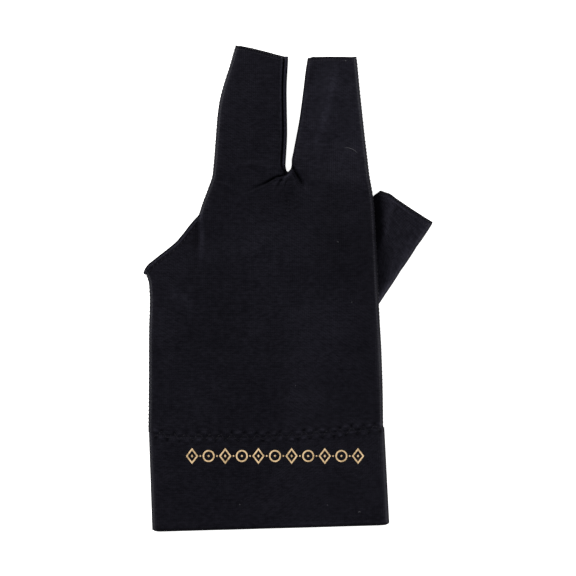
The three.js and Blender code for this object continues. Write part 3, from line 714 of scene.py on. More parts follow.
def threadMaterial():
    material, start, shader = newMaterial("stitchThread")
    where = start.node("ShaderNodeTexCoord", output="Object")
    twist = where.noise(where, 2600.0, 2)
    feed(shader, "Base Color", twist.mix((0.004, 0.0038, 0.0055, 1), (0.014, 0.0133, 0.0185, 1)))
    feedBump(shader, twist * 0.00005, 0.6)
    give(shader, Roughness=0.55, Specular_IOR_Level=0.14, Sheen_Weight=0.04, Sheen_Roughness=0.4)
    return material


def foilMaterial():
    material, start, shader = newMaterial("ornamentFoil")
    where = start.node("ShaderNodeTexCoord", output="Object")
    grain = where.noise(where, 1500.0, 3, 0.6)
    patch = where.noise(where, 240.0, 2)
    wear = (grain * 0.6 + patch * 0.4).between(0.3, 0.62)
    feed(shader, "Base Color", wear.mix((0.37, 0.25, 0.115, 1), (0.86, 0.625, 0.36, 1)))
    feed(shader, "Roughness", grain * 0.3 + 0.34)
    feedBump(shader, grain * 0.00004, 0.7)
    give(shader, Metallic=0.35, Specular_IOR_Level=0.5)
    return material


def lintMaterial():
    material, start, shader = newMaterial("lintFibre")
    where = start.node("ShaderNodeTexCoord", output="Object")
    feed(shader, "Base Color", where.noise(where, 900.0).mix((0.03, 0.03, 0.035, 1), (0.1, 0.1, 0.11, 1)))
    give(shader, Roughness=0.8, Specular_IOR_Level=0.2)
    return material


stitchThread = threadMaterial()
ornamentFoil = foilMaterial()
lintFibre = lintMaterial()


# Hand: back and palm
panel = {
    "edgeStrip": 5.0,
    "edgeSteps": 12,
    "middleSteps": (58, 42),
    "crowding": 1.3,  # lines lie closer towards the crotch
    "rowsUpTo": ((4, 10), (96, 118), (crotchUp, 46)),  # height and rows up to it, from the cuff's seam
    "fingerRows": 90,
    "hemLeft": 1.5,  # what the opening's hem covers, between hemFrom and hemTo
    "hemFrom": 69, "hemTo": 94.4,
    "palmCoarse": 1.7,  # how much coarser the palm's mesh is than the back's
    "skyUp": 34,  # top of the block above the palm that trims the thumb
}


def leftEdge(y, inset):
    side = np.concatenate([lines["leftSide"][:-1], lines["opening"], lines["middleOuter"][1:]])
    x = np.interp(y, side[:, 1], side[:, 0])
    return x + inset * smooth((y - panel["hemFrom"]) / 2) * (1 - smooth((y - panel["hemTo"]) / 1.2))


def panelPlan(tipInset, peek, coarse):  # rows of points seen from above, cuff to fingertips
    steps = [max(6, int(panel["edgeSteps"] / coarse)), *(int(n / coarse) for n in panel["middleSteps"])]
    handRows = [glove["clothGap"] / 2]
    for height, count in panel["rowsUpTo"]:
        handRows.extend(np.linspace(handRows[-1], height, int(count / coarse) + 1)[1:])
    rowCount = len(handRows)
    blocks = []
    for y in handRows:
        left = [leftEdge(y, panel["hemLeft"]), y, lines["middleInner"][0, 0], y]
        right = [lines["indexInner"][0, 0], y, rightEdge(y), y]
        blocks.append((left, right, 0.0))
    fingerSteps = int(panel["fingerRows"] / coarse)
    for along in np.linspace(0, 1, fingerSteps + 1)[1:]:
        ends = []
        for inner, outer, flip in (("middleInner", "middleOuter", True), ("indexInner", "rightSide", False)):
            run = []
            for name in ((outer, inner) if flip else (inner, outer)):
                line = lines[name]
                start = crotchUp if name in ("middleOuter", "rightSide") else line[0, 1]
                y = start + along * (line[-1, 1] - tipInset - start)
                x = np.interp(y, line[:, 1], line[:, 0])
                if name == "middleInner":
                    x -= peek * smooth((y - crotchUp + 0.3) / 4.5)
                run += [x, y]
            ends.append(run)
        blocks.append((ends[0], ends[1], along))
    rows = []
    for left, right, along in blocks:
        row = []
        for ends, middle, tip, crowding in ((left, steps[1], "middleTip", panel["crowding"]),
                                            (right, steps[2], "indexTip", -panel["crowding"])):
            start, end = np.array(ends[:2]), np.array(ends[2:])
            width = float(np.hypot(*(end - start)))
            share = sideStops(width, panel["edgeStrip"], steps[0], middle, crowding) / width
            points = start + share[:, None] * (end - start)
            points[:, 1] += np.interp(share, *np.array(outline[tip]).T) * smooth((along - 0.8) / 0.2)
            row.append(points)
        rows.append(np.concatenate(row))
    plan = np.array(rows)
    leftCount = 2 * steps[0] + steps[1] + 1
    filled = np.ones((len(rows) - 1, plan.shape[1] - 1), dtype=bool)
    filled[rowCount - 1:, leftCount - 1] = False
    return plan, filled, leftCount


def panelFace(plan, heightAt):
    x, y = plan[..., 0], plan[..., 1]
    outer = np.stack([x, y, heightAt(x, y)], -1)
    outer[..., 1] += seamBow(x, y) + crotchSlant(x, y)
    return outer


def panelUv(points, leftCount):
    out = np.zeros(points.shape[:2] + (2,))
    for block in (slice(0, leftCount), slice(leftCount, None)):
        part = points[:, block]
        steps = np.linalg.norm(np.diff(part, axis=1), axis=2)
        run = np.concatenate([np.zeros((len(part), 1)), np.cumsum(steps, axis=1)], axis=1)
        middle = part.shape[1] // 2
        out[:, block, 0] = run - run[:, middle:middle + 1] + part[:, middle:middle + 1, 0]
        out[:, block, 1] = part[:, :, 1]
    return out.reshape(-1, 2)


def handBack():
    plan, filled, leftCount = panelPlan(glove["tipOverlap"], glove["peek"], 1)
    outer = panelFace(plan, backHeight)
    inner = outer - gridNormals(outer, filled) * glove["wall"]
    points, faces, source, face = sheetBody(outer, inner, filled, 0.22)
    x, y = plan[..., 0].ravel(), plan[..., 1].ravel()
    lineLight, lineDark = borderLines(x, y, seamFields(x, y, glove["peek"])[0])
    creases = foldFields(backFolds, x, y)[1]
    # painted shade on the back's top face: dark outline along the edges, crease shade, stitch pits at the
    # cuff's seam and the hem's stitch line; inner faces and rim are painted fully dark
    dark = np.max([lineDark, creases, 0.8 * seamPits(x, y), hemPitShade(x, y)], axis=0)
    shade = np.where(face == 0, dark[source], 1.0)
    # painted highlights: fold crests, seam bumps, broad patches and the lines beside the edges
    paintedLight = paintedLightShare(x, y) + lineLight
    return makeMesh("gloveBack", points, faces, panelUv(outer, leftCount)[source], handKnit,
                    shade=shade, paintedLight=paintedLight[source])


def handPalm():
    plan, filled, leftCount = panelPlan(0, 0, panel["palmCoarse"])
    outer = panelFace(plan, palmHeight)
    inner = outer + gridNormals(outer, filled) * glove["wall"]
    points, faces, source, face = sheetBody(inner, outer, filled, 0.2)
    # painted shade on the palm's inner faces and rim
    shade = np.where(face == 1, 0.0, 1.0)
    piece = makeMesh("glovePalm", points, faces, panelUv(outer, leftCount)[source], handKnit, shade=shade)
    sky = inner.copy()
    sky[..., 2] = panel["skyUp"]
    hollowPoints, hollowFaces, _, _ = sheetBody(sky, inner, filled, 0)
    hollow = makeMesh("handHollow", hollowPoints, hollowFaces, np.zeros((len(hollowPoints), 2)), handKnit)
    return piece, hollow


# Thumb. thumbTable: share of the length, of the turn and of the taper. heelTable: share of the heel's depth,
# of the root's width and of the climb into the palm.
thumbTable = np.array([[0, 0, 0], [0.21, 0.11, 0.27], [0.47, 0.31, 0.61], [0.74, 0.61, 0.88], [1, 1, 1]])
heelTable = np.array([[0.08, 0.99, 0.3], [0.26, 0.97, 1], [0.48, 0.9, 1], [0.7, 0.76, 1], [0.87, 0.56, 1],
                      [1, 0.3, 1]])
thumbFolds = [
    {"line": [(60.5, 101.5), (56, 97.6), (53.2, 92), (51.6, 86)], "drop": 0.5, "dropReach": 1.4,
     "raise": 0.55, "raiseReach": 1.1, "fadeIn": 0.3},
    {"line": [(55, 84), (57.5, 88), (59.5, 92)], "drop": 0.3, "dropReach": 1.2, "raise": 0.3,
     "raiseReach": 1.2, "fadeIn": 0.4},
]


def flatRing(centre, across, width, heights, inset, stopsPlan):
    stops = sideStops(width - 2 * inset, *stopsPlan) + inset
    first, last = stops[0], stops[-1]
    near = np.minimum(stops - first, last - stops)
    top, floor = heights["top"] - inset * heights.get("roofWalls", 1), heights["floor"] + inset
    fold = min(max(heights["fold"], floor), top)
    place = centre + (stops - width / 2)[:, None] * across
    over = np.column_stack([place, fold + (top - fold) * roundShare(near / heights["round"])])
    under = np.column_stack([place, fold + (floor - fold) * roundShare(near / heights["underRound"])])
    return np.concatenate([over, under[1:-1][::-1]]), stops / width, len(stops)


def thumbRings(inset, grow, rows, stopsPlan):
    climbTop = thumbRise + glove["wall"] + thumb["height"] / 2
    rootAcross = thumbAcross(0)
    backwards = np.array([rootAcross[1], -rootAcross[0]])
    rings = []

    def ringAt(centre, across, width, top, roofWalls, along):
        heights = {"top": top + grow, "floor": -grow, "fold": glove["seam"], "roofWalls": roofWalls,
                   "round": thumb["round"], "underRound": thumb["underRound"]}
        ring, share, count = flatRing(centre, across, width + 2 * grow, heights, inset, stopsPlan)
        outward = np.array([-across[1], across[0]])
        reach = np.interp(share, *np.array(thumb["mouthLine"]).T) * smooth((along - 0.7) / 0.3)
        ring[:count, :2] += reach[:, None] * outward
        underReach = reach + 0.7 * smooth((along - 0.9) / 0.1)
        ring[count:, :2] += underReach[1:-1][::-1, None] * outward
        if along >= 0:
            x, y = ring[:count, 0], ring[:count, 1]
            fade = roundShare(np.minimum(share, 1 - share) * width / 6)
            crease = smoothLine(thumb["crease"], 1)
            _, creaseShare, left = nearest(crease, x, y)
            pocket = 0.3 * smooth(0.5 - left / 3.2) + 0.7 * smooth(-left / 6.5)
            ridge = 0.6 * bell(left - 2.0, 1.6) * smooth(creaseShare / 0.25) * smooth((1 - creaseShare) / 0.2)
            edgeRidge = 0.34 * bell((1 - along) * thumb["length"] - 1.25, 0.6)
            bumps = 0.55 * clothRelief(x, y, 71) * fade + ridge + edgeRidge + foldFields(thumbFolds, x, y)[0]
            room = np.maximum(ring[:count, 2] - glove["seam"] - 0.3, 0)
            change = np.where(room > 0, bumps - np.minimum(pocket * thumb["creaseDrop"], room * 0.9), 0)
            ring[:count, 2] += change * smooth(room / 1.2) * (1 if grow == 0 else 0)
        return ring

    for back, spread, climb in heelTable[::-1]:
        depth = (thumb["heelDepth"] + grow - inset) * back
        top = thumb["height"] + (climbTop - thumb["height"]) * climb
        centre, width = thumbRoot + backwards * depth, thumb["rootWidth"] * spread
        rings.append(ringAt(centre, rootAcross, width, top, 1.6, -1))
    for along in np.linspace(0, 1, rows + 1):
        turn, taper = (np.interp(along, thumbTable[:, 0], thumbTable[:, k]) for k in (1, 2))
        width = thumb["rootWidth"] + (thumb["mouthWidth"] - thumb["rootWidth"]) * taper
        centre = thumbRoot + thumbWay * along * thumb["length"]
        rings.append(ringAt(centre, thumbAcross(turn), width, thumb["height"], 1, along))
    return np.array(rings)


def cutBy(piece, tool):
    modifier = piece.modifiers.new("cut", "BOOLEAN")
    modifier.operation, modifier.object, modifier.solver = "DIFFERENCE", tool, "MANIFOLD"
    graph = bpy.context.evaluated_depsgraph_get()
    cut = bpy.data.meshes.new_from_object(piece.evaluated_get(graph), depsgraph=graph)
    piece.modifiers.clear()
    old = piece.data
    piece.data = cut
    bpy.data.meshes.remove(old)
    piece.data.shade_smooth()
    piece.data.set_sharp_from_angle(angle=math.radians(48))


def drop(tool):
    mesh = tool.data
    bpy.data.objects.remove(tool)
    bpy.data.meshes.remove(mesh)


def thumbTube():
    outer = thumbRings(0, 0, thumb["rows"], thumb["stops"])
    inner = thumbRings(glove["wall"], 0, thumb["rows"], thumb["stops"])
    lip = (outer[-1:] + inner[-1:]) / 2
    lip[..., :2] += 0.25 * np.array([-thumbAcross(1)[1], thumbAcross(1)[0]])
    rings = np.concatenate([outer, lip, inner[::-1]])
    points, faces = ringBody(rings, False)
    uv = np.concatenate([ringUv(outer), ringUv(lip), ringUv(inner[::-1])])
    shade = np.ones(rings.shape[:2])
    paintedLight = np.zeros(rings.shape[:2])
    fromMouth = np.linalg.norm(outer[..., :2] - outer[-1:, :, :2], axis=2)
    lastTop = (outer.shape[1] + 2) // 2 - 1
    fromWrist = np.linalg.norm(outer[..., :2] - outer[:, lastTop:lastTop + 1, :2], axis=2)
    edge = np.minimum(fromMouth, fromWrist)
    _, share, left = nearest(smoothLine(thumb["crease"], 1), outer[..., 0], outer[..., 1])
    beside = smooth(share / 0.2) * smooth((1 - share) / 0.2)
    # painted shade: dark outline along the mouth and the wrist-side edge, and in the pocket beside the
    # crease; the inner rings stay fully dark
    shade[:len(outer)] = np.maximum(0.95 * bell(edge, 0.62), 0.4 * smooth(-left / 4))
    # painted highlights: lines beside the mouth and the wrist-side edge, a soft band along it, and the ridge
    # beside the crease
    mouthLight = 1.5 * bell(fromMouth - 1.3, 0.36)
    sideLight = bell(fromWrist - 1.4, 0.4) + 0.5 * bell(fromWrist - 2.5, 2.5)
    creaseLight = 0.5 * beside * bell(left - 2.2, 1.2)
    paintedLight[:len(outer)] = mouthLight + sideLight + creaseLight
    return makeMesh("thumbTube", points, faces, uv, thumbKnit, shade=shade.ravel(), paintedLight=paintedLight.ravel())


def thumbClearance():
    points, faces = ringBody(thumbRings(0, thumb["toolGrow"], thumb["toolRows"], thumb["toolStops"]), False)
    return makeMesh("thumbClearance", points, faces, np.zeros((len(points), 2)), thumbKnit)


print("back")
gloveBack = handBack()
print("palm")
glovePalm, handHollow = handPalm()
print("thumb")
thumbPiece = thumbTube()
thumbTool = thumbClearance()
cutBy(glovePalm, thumbTool)
cutBy(thumbPiece, handHollow)
drop(thumbTool)
drop(handHollow)

# Cuff: one strip doubled over its lower edge
cuff = {
    "topLeft": -51.6, "topRight": 52.1,
    "length": 41.5,
    "rowsUpTo": ((0.12, 13), (1, 50)),  # share of the way down and rows up to it
    "layer": 0.95,
    "layerGap": 0.2,
    "foldRound": 0.55,
    "stops": (5.0, 12, 130),
}
cuffLeftEnd, cuffRightEnd = (np.array(point) for point in outline["cuffEnd"])


def cuffTop(x, y):  # height of the cuff's upper face
    down = np.clip(-y / cuff["length"], 0, 1)
    left = cuff["topLeft"] + (cuffLeftEnd[0] - cuff["topLeft"]) * down
    right = cuff["topRight"] + (cuffRightEnd[0] - cuff["topRight"]) * down
    near = np.minimum(x - left, right - x)
    body = 0.8 * clothRelief(x, y, 91) + cuffPucker(x, y)
    body += relief["edgeRidge"] * bell(near - relief["edgeRidgeAt"], relief["edgeRidgeReach"])
    body += 0.12 * bell(y + 40.3, 1.2)
    top = glove["lying"] + body * roundShare(near / 4)
    return glove["seam"] + (top - glove["seam"]) * roundShare(near / glove["sideRound"])


def cuffRings(inset, rows):
    rings = []
    for down in rows:
        start = np.array([cuff["topLeft"], -glove["clothGap"] / 2])
        end = np.array([cuff["topRight"], -glove["clothGap"] / 2])
        left = start + (cuffLeftEnd - start) * down
        right = end + (cuffRightEnd - end) * down
        width = float(np.hypot(*(right - left)))
        heights = {"top": glove["lying"], "floor": 0, "fold": glove["seam"],
                   "round": glove["sideRound"], "underRound": glove["floorRound"]}
        ring, share, count = flatRing((left + right) / 2, (right - left) / width, width, heights, inset,
                                      cuff["stops"])
        x, y = ring[:, 0].copy(), ring[:, 1].copy()
        lifted = cuffTop(x[:count], y[:count])
        near = np.minimum(share, 1 - share) * width
        ring[:count, 2] = np.where(near > inset + 0.01, ring[:count, 2] + (lifted - glove["seam"])
                                   - (glove["lying"] - glove["seam"]) * roundShare(near / glove["sideRound"]),
                                   ring[:count, 2])
        under = np.abs(clothRelief(x[count:], y[count:], 95)) * 0.4
        ring[count:, 2] += under * smooth(near[1:-1][::-1] / 8)
        ring[:, 1] += seamBow(x, y)
        rings.append(ring)
    return np.array(rings)


def cuffBand():
    fine = [0.0]
    for share, count in cuff["rowsUpTo"]:
        fine.extend(np.linspace(fine[-1], share, count + 1)[1:])
    coarse = np.linspace(0, 1, 14)
    layer, gap = cuff["layer"], cuff["layerGap"]
    outer = cuffRings(0, fine)
    fold = cuffRings(layer + gap / 2, np.array([1.0]))
    fold[..., 1] -= cuff["foldRound"]
    lining = cuffRings(2 * layer + gap, coarse[::-1])
    liningBack = cuffRings(layer + gap, coarse * 0.975)
    outerBack = cuffRings(layer, (coarse * 0.975)[::-1])
    rings = np.concatenate([outer, fold, lining, liningBack, outerBack])
    points, faces = ringBody(rings, True)
    # painted shade: the lining fully dark, the outer face dark at its edges and in the stitch pits
    shade = np.ones(rings.shape[:2])
    shade[:len(fine) + 1] = 0
    x = outer[..., 0]
    fromSeam = -cuff["length"] * np.array(fine)[:, None]
    near = np.minimum(x - x.min(axis=1, keepdims=True), x.max(axis=1, keepdims=True) - x)
    edge = np.minimum(near, fromSeam + cuff["length"] + 0.1)
    edgeDark = border["dark"] * bell(edge, border["darkReach"])
    shade[:len(fine)] = np.maximum(0.8 * seamPits(x, fromSeam), edgeDark)
    # painted highlights on the bumps beside the seam and in lines along the sides and the lower end
    paintedLight = np.zeros(rings.shape[:2])
    topSide = outer[..., 2] > glove["seam"]
    sideLine = 0.6 * bell(near - border["at"], border["reach"])
    endLine = 0.6 * bell(fromSeam + cuff["length"] - 1.3, 0.5) * smooth((x + 20) / 40)
    paintedLight[:len(fine)] = topSide * (seamBlobs(x, fromSeam) + sideLine + endLine)
    return makeMesh("cuffBand", points, faces, ringUv(rings), cuffKnit, 48, shade.ravel(), paintedLight.ravel())


print("cuff")
cuffPiece = cuffBand()

# Opening's rolled hem, and the strip between the fingers
hem = {"width": 1.8, "thick": 1.2, "profile": 16, "pitch": 1.7, "knot": 0.1, "startAt": (-54.2, 70.2),
       "endAt": (-29.3, 96.9),
       "tones": ((0, 70, 92, 130, 155, 180, 270, 360), (0.95, 0.85, 0.05, 0, 0.7, 0.95, 0.9, 0.95),
                 (0, 0.1, 2.6, 2.4, 0.1, 0, 0, 0))}  # angle round the hem, its painted shade and its painted highlight: dark at the outer and inner edges, lit along the top


def hemAxis(inset):  # opening's edge, or a line so far inside it
    line = smoothLine([hem["startAt"], *outline["opening"][1:], hem["endAt"]], 0.7)
    way = waysAlong(line)
    return line + inset * np.column_stack([way[:, 1], -way[:, 0]])


def hemStrand(angle):  # one line along the hem's top and one along its underside
    line = hemAxis(0)
    lengths = lengthsAlong(line)
    inset = hem["thick"] / 2 * (1 - math.sin(angle))
    stops = sideStops(lengths[-1] - 2 * inset, 3.6, 10, 60) + inset
    near = np.minimum(stops - stops[0], stops[-1] - stops)
    axis = hemAxis(hem["width"] / 2 * (1 - math.cos(angle)))
    plan = np.column_stack([np.interp(stops, lengths, axis[:, k]) for k in (0, 1)])
    knot = hem["knot"] * np.sin(2 * math.pi * stops / hem["pitch"]) * max(0.0, math.sin(angle))
    top, floor = glove["lying"] + 0.15 - inset, 0.05 + inset
    over = np.column_stack([plan, glove["seam"] + (top - glove["seam"]) * roundShare(near / 4) + knot])
    under = np.column_stack([plan, glove["seam"] + (floor - glove["seam"]) * roundShare(near / 3.4)])
    return over, under


def openingHem():
    strands = [hemStrand(angle) for angle in np.linspace(0, 2 * math.pi, hem["profile"], endpoint=False)]
    rings = np.array([np.concatenate([over, under[1:-1][::-1]]) for over, under in strands])
    points, faces = ringBody(rings, True)
    turn, shade, paintedLight = hem["tones"]
    angles = np.linspace(0, 360, hem["profile"], endpoint=False)
    shade, paintedLight = (np.repeat(np.interp(angles, turn, tone), rings.shape[1]) for tone in (shade, paintedLight))
    return makeMesh("openingHem", points, faces, ringUv(rings), seamKnit, 60, shade, paintedLight)


# shade and the profile after it are painted shade and painted highlight across the strip: dark at its outer
# edge and groove, lit along its top; near the crotch it is painted paler
strip = {"width": 2.0, "low": 3.0, "high": 4.9, "standing": 2.5, "pucker": 0.12, "pitch": 3.1,
         "step": 0.8, "crotch": (9.75, 114.1),
         "shade": (0.9, 0.9, 0.85, 0.35, 0, 0, 0.7, 1, 1), "paintedLight": (0, 0, 0, 0.8, 1.3, 0.8, 0, 0, 0),
         "paleAt": 6.0, "paleReach": 6.0, "paleShade": 0.55, "paleHighlight": 0.9}


def fingerStrip():
    down, up = lines["middleInner"][::-1], lines["indexInner"]
    route = smoothLine(np.concatenate([down[:-2], [strip["crotch"]], up[2:]]), strip["step"])
    way = waysAlong(route)
    inward = np.column_stack([way[:, 1], -way[:, 0]])
    lengths = np.arange(len(route)) * strip["step"]
    ripple = strip["pucker"] * np.sin(2 * math.pi * lengths / strip["pitch"] + 2 * np.sin(lengths / 7))
    rings = []
    low, width = strip["low"], strip["width"]
    fromCrotch = lengths[np.argmin(route[:, 1])] - lengths
    for k, point in enumerate(route):  # it stands up along the middle finger and lies under the index finger
        standing = strip["standing"] * smooth(fromCrotch[k] / 4.5) * smooth((k + 2) / 4)
        high = strip["high"] + standing + ripple[k]
        profile = [(0.05, low), (0, (low + high) / 2), (0.12, high - 0.3), (0.5, high), (0.95, high),
                   (1.35, high - 0.1 - standing * 0.25), (width, high - 0.45 - standing * 0.9),
                   (width - 0.1, low + 0.1), (1.0, low)]
        rings.append([[*(point + inward[k] * depth), z] for depth, z in profile])
    rings = np.array(rings)
    points, faces = ringBody(rings, False)
    # painted paler near the crotch: less painted shade and more painted highlight
    nearCrotch = bell(fromCrotch - strip["paleAt"], strip["paleReach"])
    shade = np.outer(1 - strip["paleShade"] * nearCrotch, strip["shade"]).ravel()
    paintedLight = np.outer(1 + strip["paleHighlight"] * nearCrotch, strip["paintedLight"]).ravel()
    return makeMesh("fingerStrip", points, faces, ringUv(rings), seamKnit, 60, shade, paintedLight)


print("hem and strip")
hemPiece = openingHem()
stripPiece = fingerStrip()


# Stitches: a row of small threads laid along a path by Geometry Nodes

def stitchTree():
    tree = bpy.data.node_groups.new("stitchRow", "GeometryNodeTree")
    sockets = {}
    face = tree.interface
    face.new_socket("Path", in_out="INPUT", socket_type="NodeSocketGeometry")
    face.new_socket("Stitches", in_out="OUTPUT", socket_type="NodeSocketGeometry")
    for name, kind in (("Spacing", "Float"), ("Length", "Float"), ("Thickness", "Float"), ("Slant", "Float"),
                       ("Zigzag", "Float"), ("Lift", "Float"), ("Unevenness", "Float"), ("Seed", "Int"),
                       ("Thread", "Material")):
        made = face.new_socket(name, in_out="INPUT", socket_type="NodeSocket" + kind)
        sockets[name] = made.identifier
    ends = Wire(tree, None)
    entry = tree.nodes.new("NodeGroupInput")
    given = {socket.name: Wire(tree, socket) for socket in entry.outputs if socket.name}
    up = ends.node("GeometryNodeInputNamedAttribute", {"Name": "upWay"}, data_type="FLOAT_VECTOR")
    curve = ends.node("GeometryNodeMeshToCurve", {0: given["Path"]})
    spaced = ends.node("GeometryNodeResampleCurve", {"Curve": curve, "Length": given["Spacing"]},
                       mode="LENGTH")
    lift = ends.node("ShaderNodeVectorMath", {0: up, "Scale": given["Lift"]}, operation="SCALE")
    raised = ends.node("GeometryNodeSetPosition", {"Geometry": spaced, "Offset": lift})
    index = ends.node("GeometryNodeInputIndex")
    odd = index.maths("MODULO", index, 2.0)
    wobble = ends.node("FunctionNodeRandomValue", {2: -1.0, 3: 1.0, "Seed": given["Seed"]}, output=1)
    uneven = wobble * given["Unevenness"]
    angle = given["Slant"] * (1 - odd * given["Zigzag"] * 2) + uneven
    tangent = ends.node("GeometryNodeInputTangent")
    way = ends.node("ShaderNodeVectorRotate", {"Vector": tangent, "Axis": up, "Angle": angle},
                    rotation_type="AXIS_ANGLE")
    turned = ends.node("FunctionNodeAxesToRotation", {"Primary Axis": way, "Secondary Axis": up},
                       primary_axis="X", secondary_axis="Z")
    ball = ends.node("GeometryNodeMeshUVSphere", {"Segments": 8, "Rings": 6, "Radius": 1.0})
    half = given["Length"] * 0.5
    size = ends.node("ShaderNodeCombineXYZ", {0: half, 1: given["Thickness"], 2: given["Thickness"]})
    thread = ends.node("GeometryNodeTransform", {"Geometry": ball, "Scale": size})
    grown = ends.node("ShaderNodeCombineXYZ", {0: uneven * 0.6 + 1, 1: 1.0, 2: 1.0})
    rows = ends.node("GeometryNodeInstanceOnPoints",
                     {"Points": raised, "Instance": thread, "Rotation": turned, "Scale": grown})
    real = ends.node("GeometryNodeRealizeInstances", {0: rows})
    smoothed = ends.node("GeometryNodeSetShadeSmooth", {0: real})
    done = ends.node("GeometryNodeSetMaterial", {"Geometry": smoothed, "Material": given["Thread"]})
    leave = tree.nodes.new("NodeGroupOutput")
    tree.links.new(done.socket, leave.inputs[0])
    return tree, sockets


rowTree, rowSockets = stitchTree()


def stitchRow(name, paths, spacing, length, thickness, slant=0.0, zigzag=0.0, lift=0.0, unevenness=0.12,
              seed=1):
    points, edges, ups = [], [], []
    for path, up in paths:
        start = len(points)
        points += list(path)
        ups += list(up)
        edges += [(start + k, start + k + 1) for k in range(len(path) - 1)]
    mesh = bpy.data.meshes.new(name)
    mesh.from_pydata(placed(points).tolist(), edges, [])
    layer = mesh.attributes.new("upWay", "FLOAT_VECTOR", "POINT")
    layer.data.foreach_set("vector", np.asarray(ups, dtype=np.float32).ravel())
    piece = addObject(name, mesh)
    modifier = piece.modifiers.new("stitches", "NODES")
    modifier.node_group = rowTree
    values = {"Spacing": spacing * mm, "Length": length * mm, "Thickness": thickness * mm,
              "Slant": math.radians(slant), "Zigzag": zigzag, "Lift": lift * mm, "Unevenness": unevenness,
              "Seed": seed, "Thread": stitchThread}
    for key, value in values.items():
        modifier[rowSockets[key]] = value
    graph = bpy.context.evaluated_depsgraph_get()
    made = bpy.data.meshes.new_from_object(piece.evaluated_get(graph), depsgraph=graph)
    piece.modifiers.clear()
    piece.data = made
    bpy.data.meshes.remove(mesh)
    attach(piece, "root")
    return piece


def onSurface(plan, heightAt, lift=0.0):  # path laid on a surface, with the surface's normals
    plan = np.asarray(plan, dtype=float)
    x, y = plan[:, 0], plan[:, 1]
    z, step = heightAt(x, y), 0.25
    slopeX = (heightAt(x + step, y) - heightAt(x - step, y)) / (2 * step)
    slopeY = (heightAt(x, y + step) - heightAt(x, y - step)) / (2 * step)
    up = np.column_stack([-slopeX, -slopeY, np.ones(len(x))])
    up /= np.linalg.norm(up, axis=1, keepdims=True)
    return np.column_stack([x, y + seamBow(x, y), z]) + up * lift, up


def gloveTop(x, y):  # back above the cuff's seam, cuff below it
    return np.where(y > 0, backHeight(x, np.maximum(y, 0.2)), cuffTop(x, np.minimum(y, -0.2)))


print("stitches")
cuffStitch = {"reach": 1.5, "from": -48.6, "to": 49.4}
run = np.arange(cuffStitch["from"], cuffStitch["to"], 0.3)
wave = cuffStitch["reach"] * 2 / math.pi * np.arcsin(np.sin(stitchPhase(run)))
stitches = [
    stitchRow("cuffStitchTop", [onSurface(np.column_stack([run, wave]), gloveTop)],
              spacing=1.5, length=1.4, thickness=0.1, lift=0.0, unevenness=0.3, seed=3),
]
flat = np.zeros(len(run))
under = np.column_stack([run, wave + seamBow(run, flat), flat + 0.02])
down = np.column_stack([flat, flat, flat - 1])
stitches.append(stitchRow("cuffStitchUnder", [(under, down)],
                          spacing=1.3, length=1.35, thickness=0.15, seed=4))

hemLine = hemAxis(border["hemAt"])[4:-3]
stitches.append(stitchRow("hemLadder", [onSurface(hemLine, backHeight)],
                          spacing=2.2, length=1.5, thickness=0.12, slant=20, lift=-0.03, unevenness=0.4,
                          seed=5))

hemOver = hemStrand(math.pi / 2)[0][8:-9]
stitches.append(stitchRow("hemRow", [(hemOver, np.tile([0.0, 0.0, 1.0], (len(hemOver), 1)))],
                          spacing=1.6, length=1.35, thickness=0.12, slant=8, lift=0.02, seed=12))
stitches.append(stitchRow("tipHemRow", [onSurface(tipLine(name, 1.5), backHeight) for name in tips],
                          spacing=1.15, length=0.95, thickness=0.13, slant=24, zigzag=1.0, lift=0.03, seed=6))
stitches.append(stitchRow("tipWhipRow", [onSurface(tipLine(name, 0.35), backHeight) for name in tips],
                          spacing=1.15, length=1.1, thickness=0.14, slant=78, lift=0.02, seed=7))

ladder = np.linspace((9.5, 97), (9.5, 106.6), 24)
stitches.append(stitchRow("crotchLadder", [onSurface(ladder, backHeight)],
                          spacing=1.6, length=1.5, thickness=0.14, slant=76, lift=-0.02, seed=8))

sidePaths = []
for line, turn in ((lines["leftSide"][2:], 1), (lines["middleOuter"][4:], 1), (lines["rightSide"][2:], -1)):
    way = waysAlong(line)
    out = np.column_stack([-way[:, 1], way[:, 0]]) * turn
    rimLift = thumbRise * riseShare(line[:, 0], line[:, 1], rise["palmStart"], rise["palmFull"])
    sidePaths.append((np.column_stack([line + out * 0.02, glove["seam"] + rimLift]),
                      np.column_stack([out, np.zeros(len(line))])))
stitches.append(stitchRow("sideSeamRow", sidePaths,
                          spacing=1.7, length=1.35, thickness=0.13, slant=66, seed=9))

edgePaths = []
for name, turn in (("leftSide", 1), ("middleOuter", 1), ("rightSide", -1), ("indexInner", 1)):
    line = lines[name][2:-1]
    way = waysAlong(line)
    edgePaths.append(onSurface(line + 1.45 * turn * np.column_stack([way[:, 1], -way[:, 0]]), backHeight))
stitches.append(stitchRow("edgeLadder", edgePaths,
                          spacing=1.08, length=0.9, thickness=0.1, slant=84, lift=0.02, unevenness=0.25,
                          seed=13))


def mouthLine(insetFromEdge):  # line across the thumb's top beside its mouth
    rings = thumbRings(0, 0, thumb["rows"], thumb["stops"])
    count = (rings.shape[1] + 2) // 2
    top = rings[-12:, 3:count - 3]
    back = np.cumsum(np.linalg.norm(np.diff(top[::-1], axis=0), axis=2), axis=0)
    path = []
    for column in range(top.shape[1]):
        reach = np.concatenate([[0], back[:, column]])
        path.append([np.interp(insetFromEdge, reach, top[::-1, column, k]) for k in range(3)])
    path = np.array(path)
    up = np.tile([0.0, 0.0, 1.0], (len(path), 1))
    return path, up


stitches.append(stitchRow("mouthRow", [mouthLine(1.9)], spacing=1.3, length=1.25, thickness=0.13, slant=38,
                          zigzag=1.0, lift=0.04, seed=10))
stitches.append(stitchRow("mouthWhip", [mouthLine(0.35)], spacing=1.2, length=1.0, thickness=0.13, slant=80,
                          lift=0.03, seed=11))

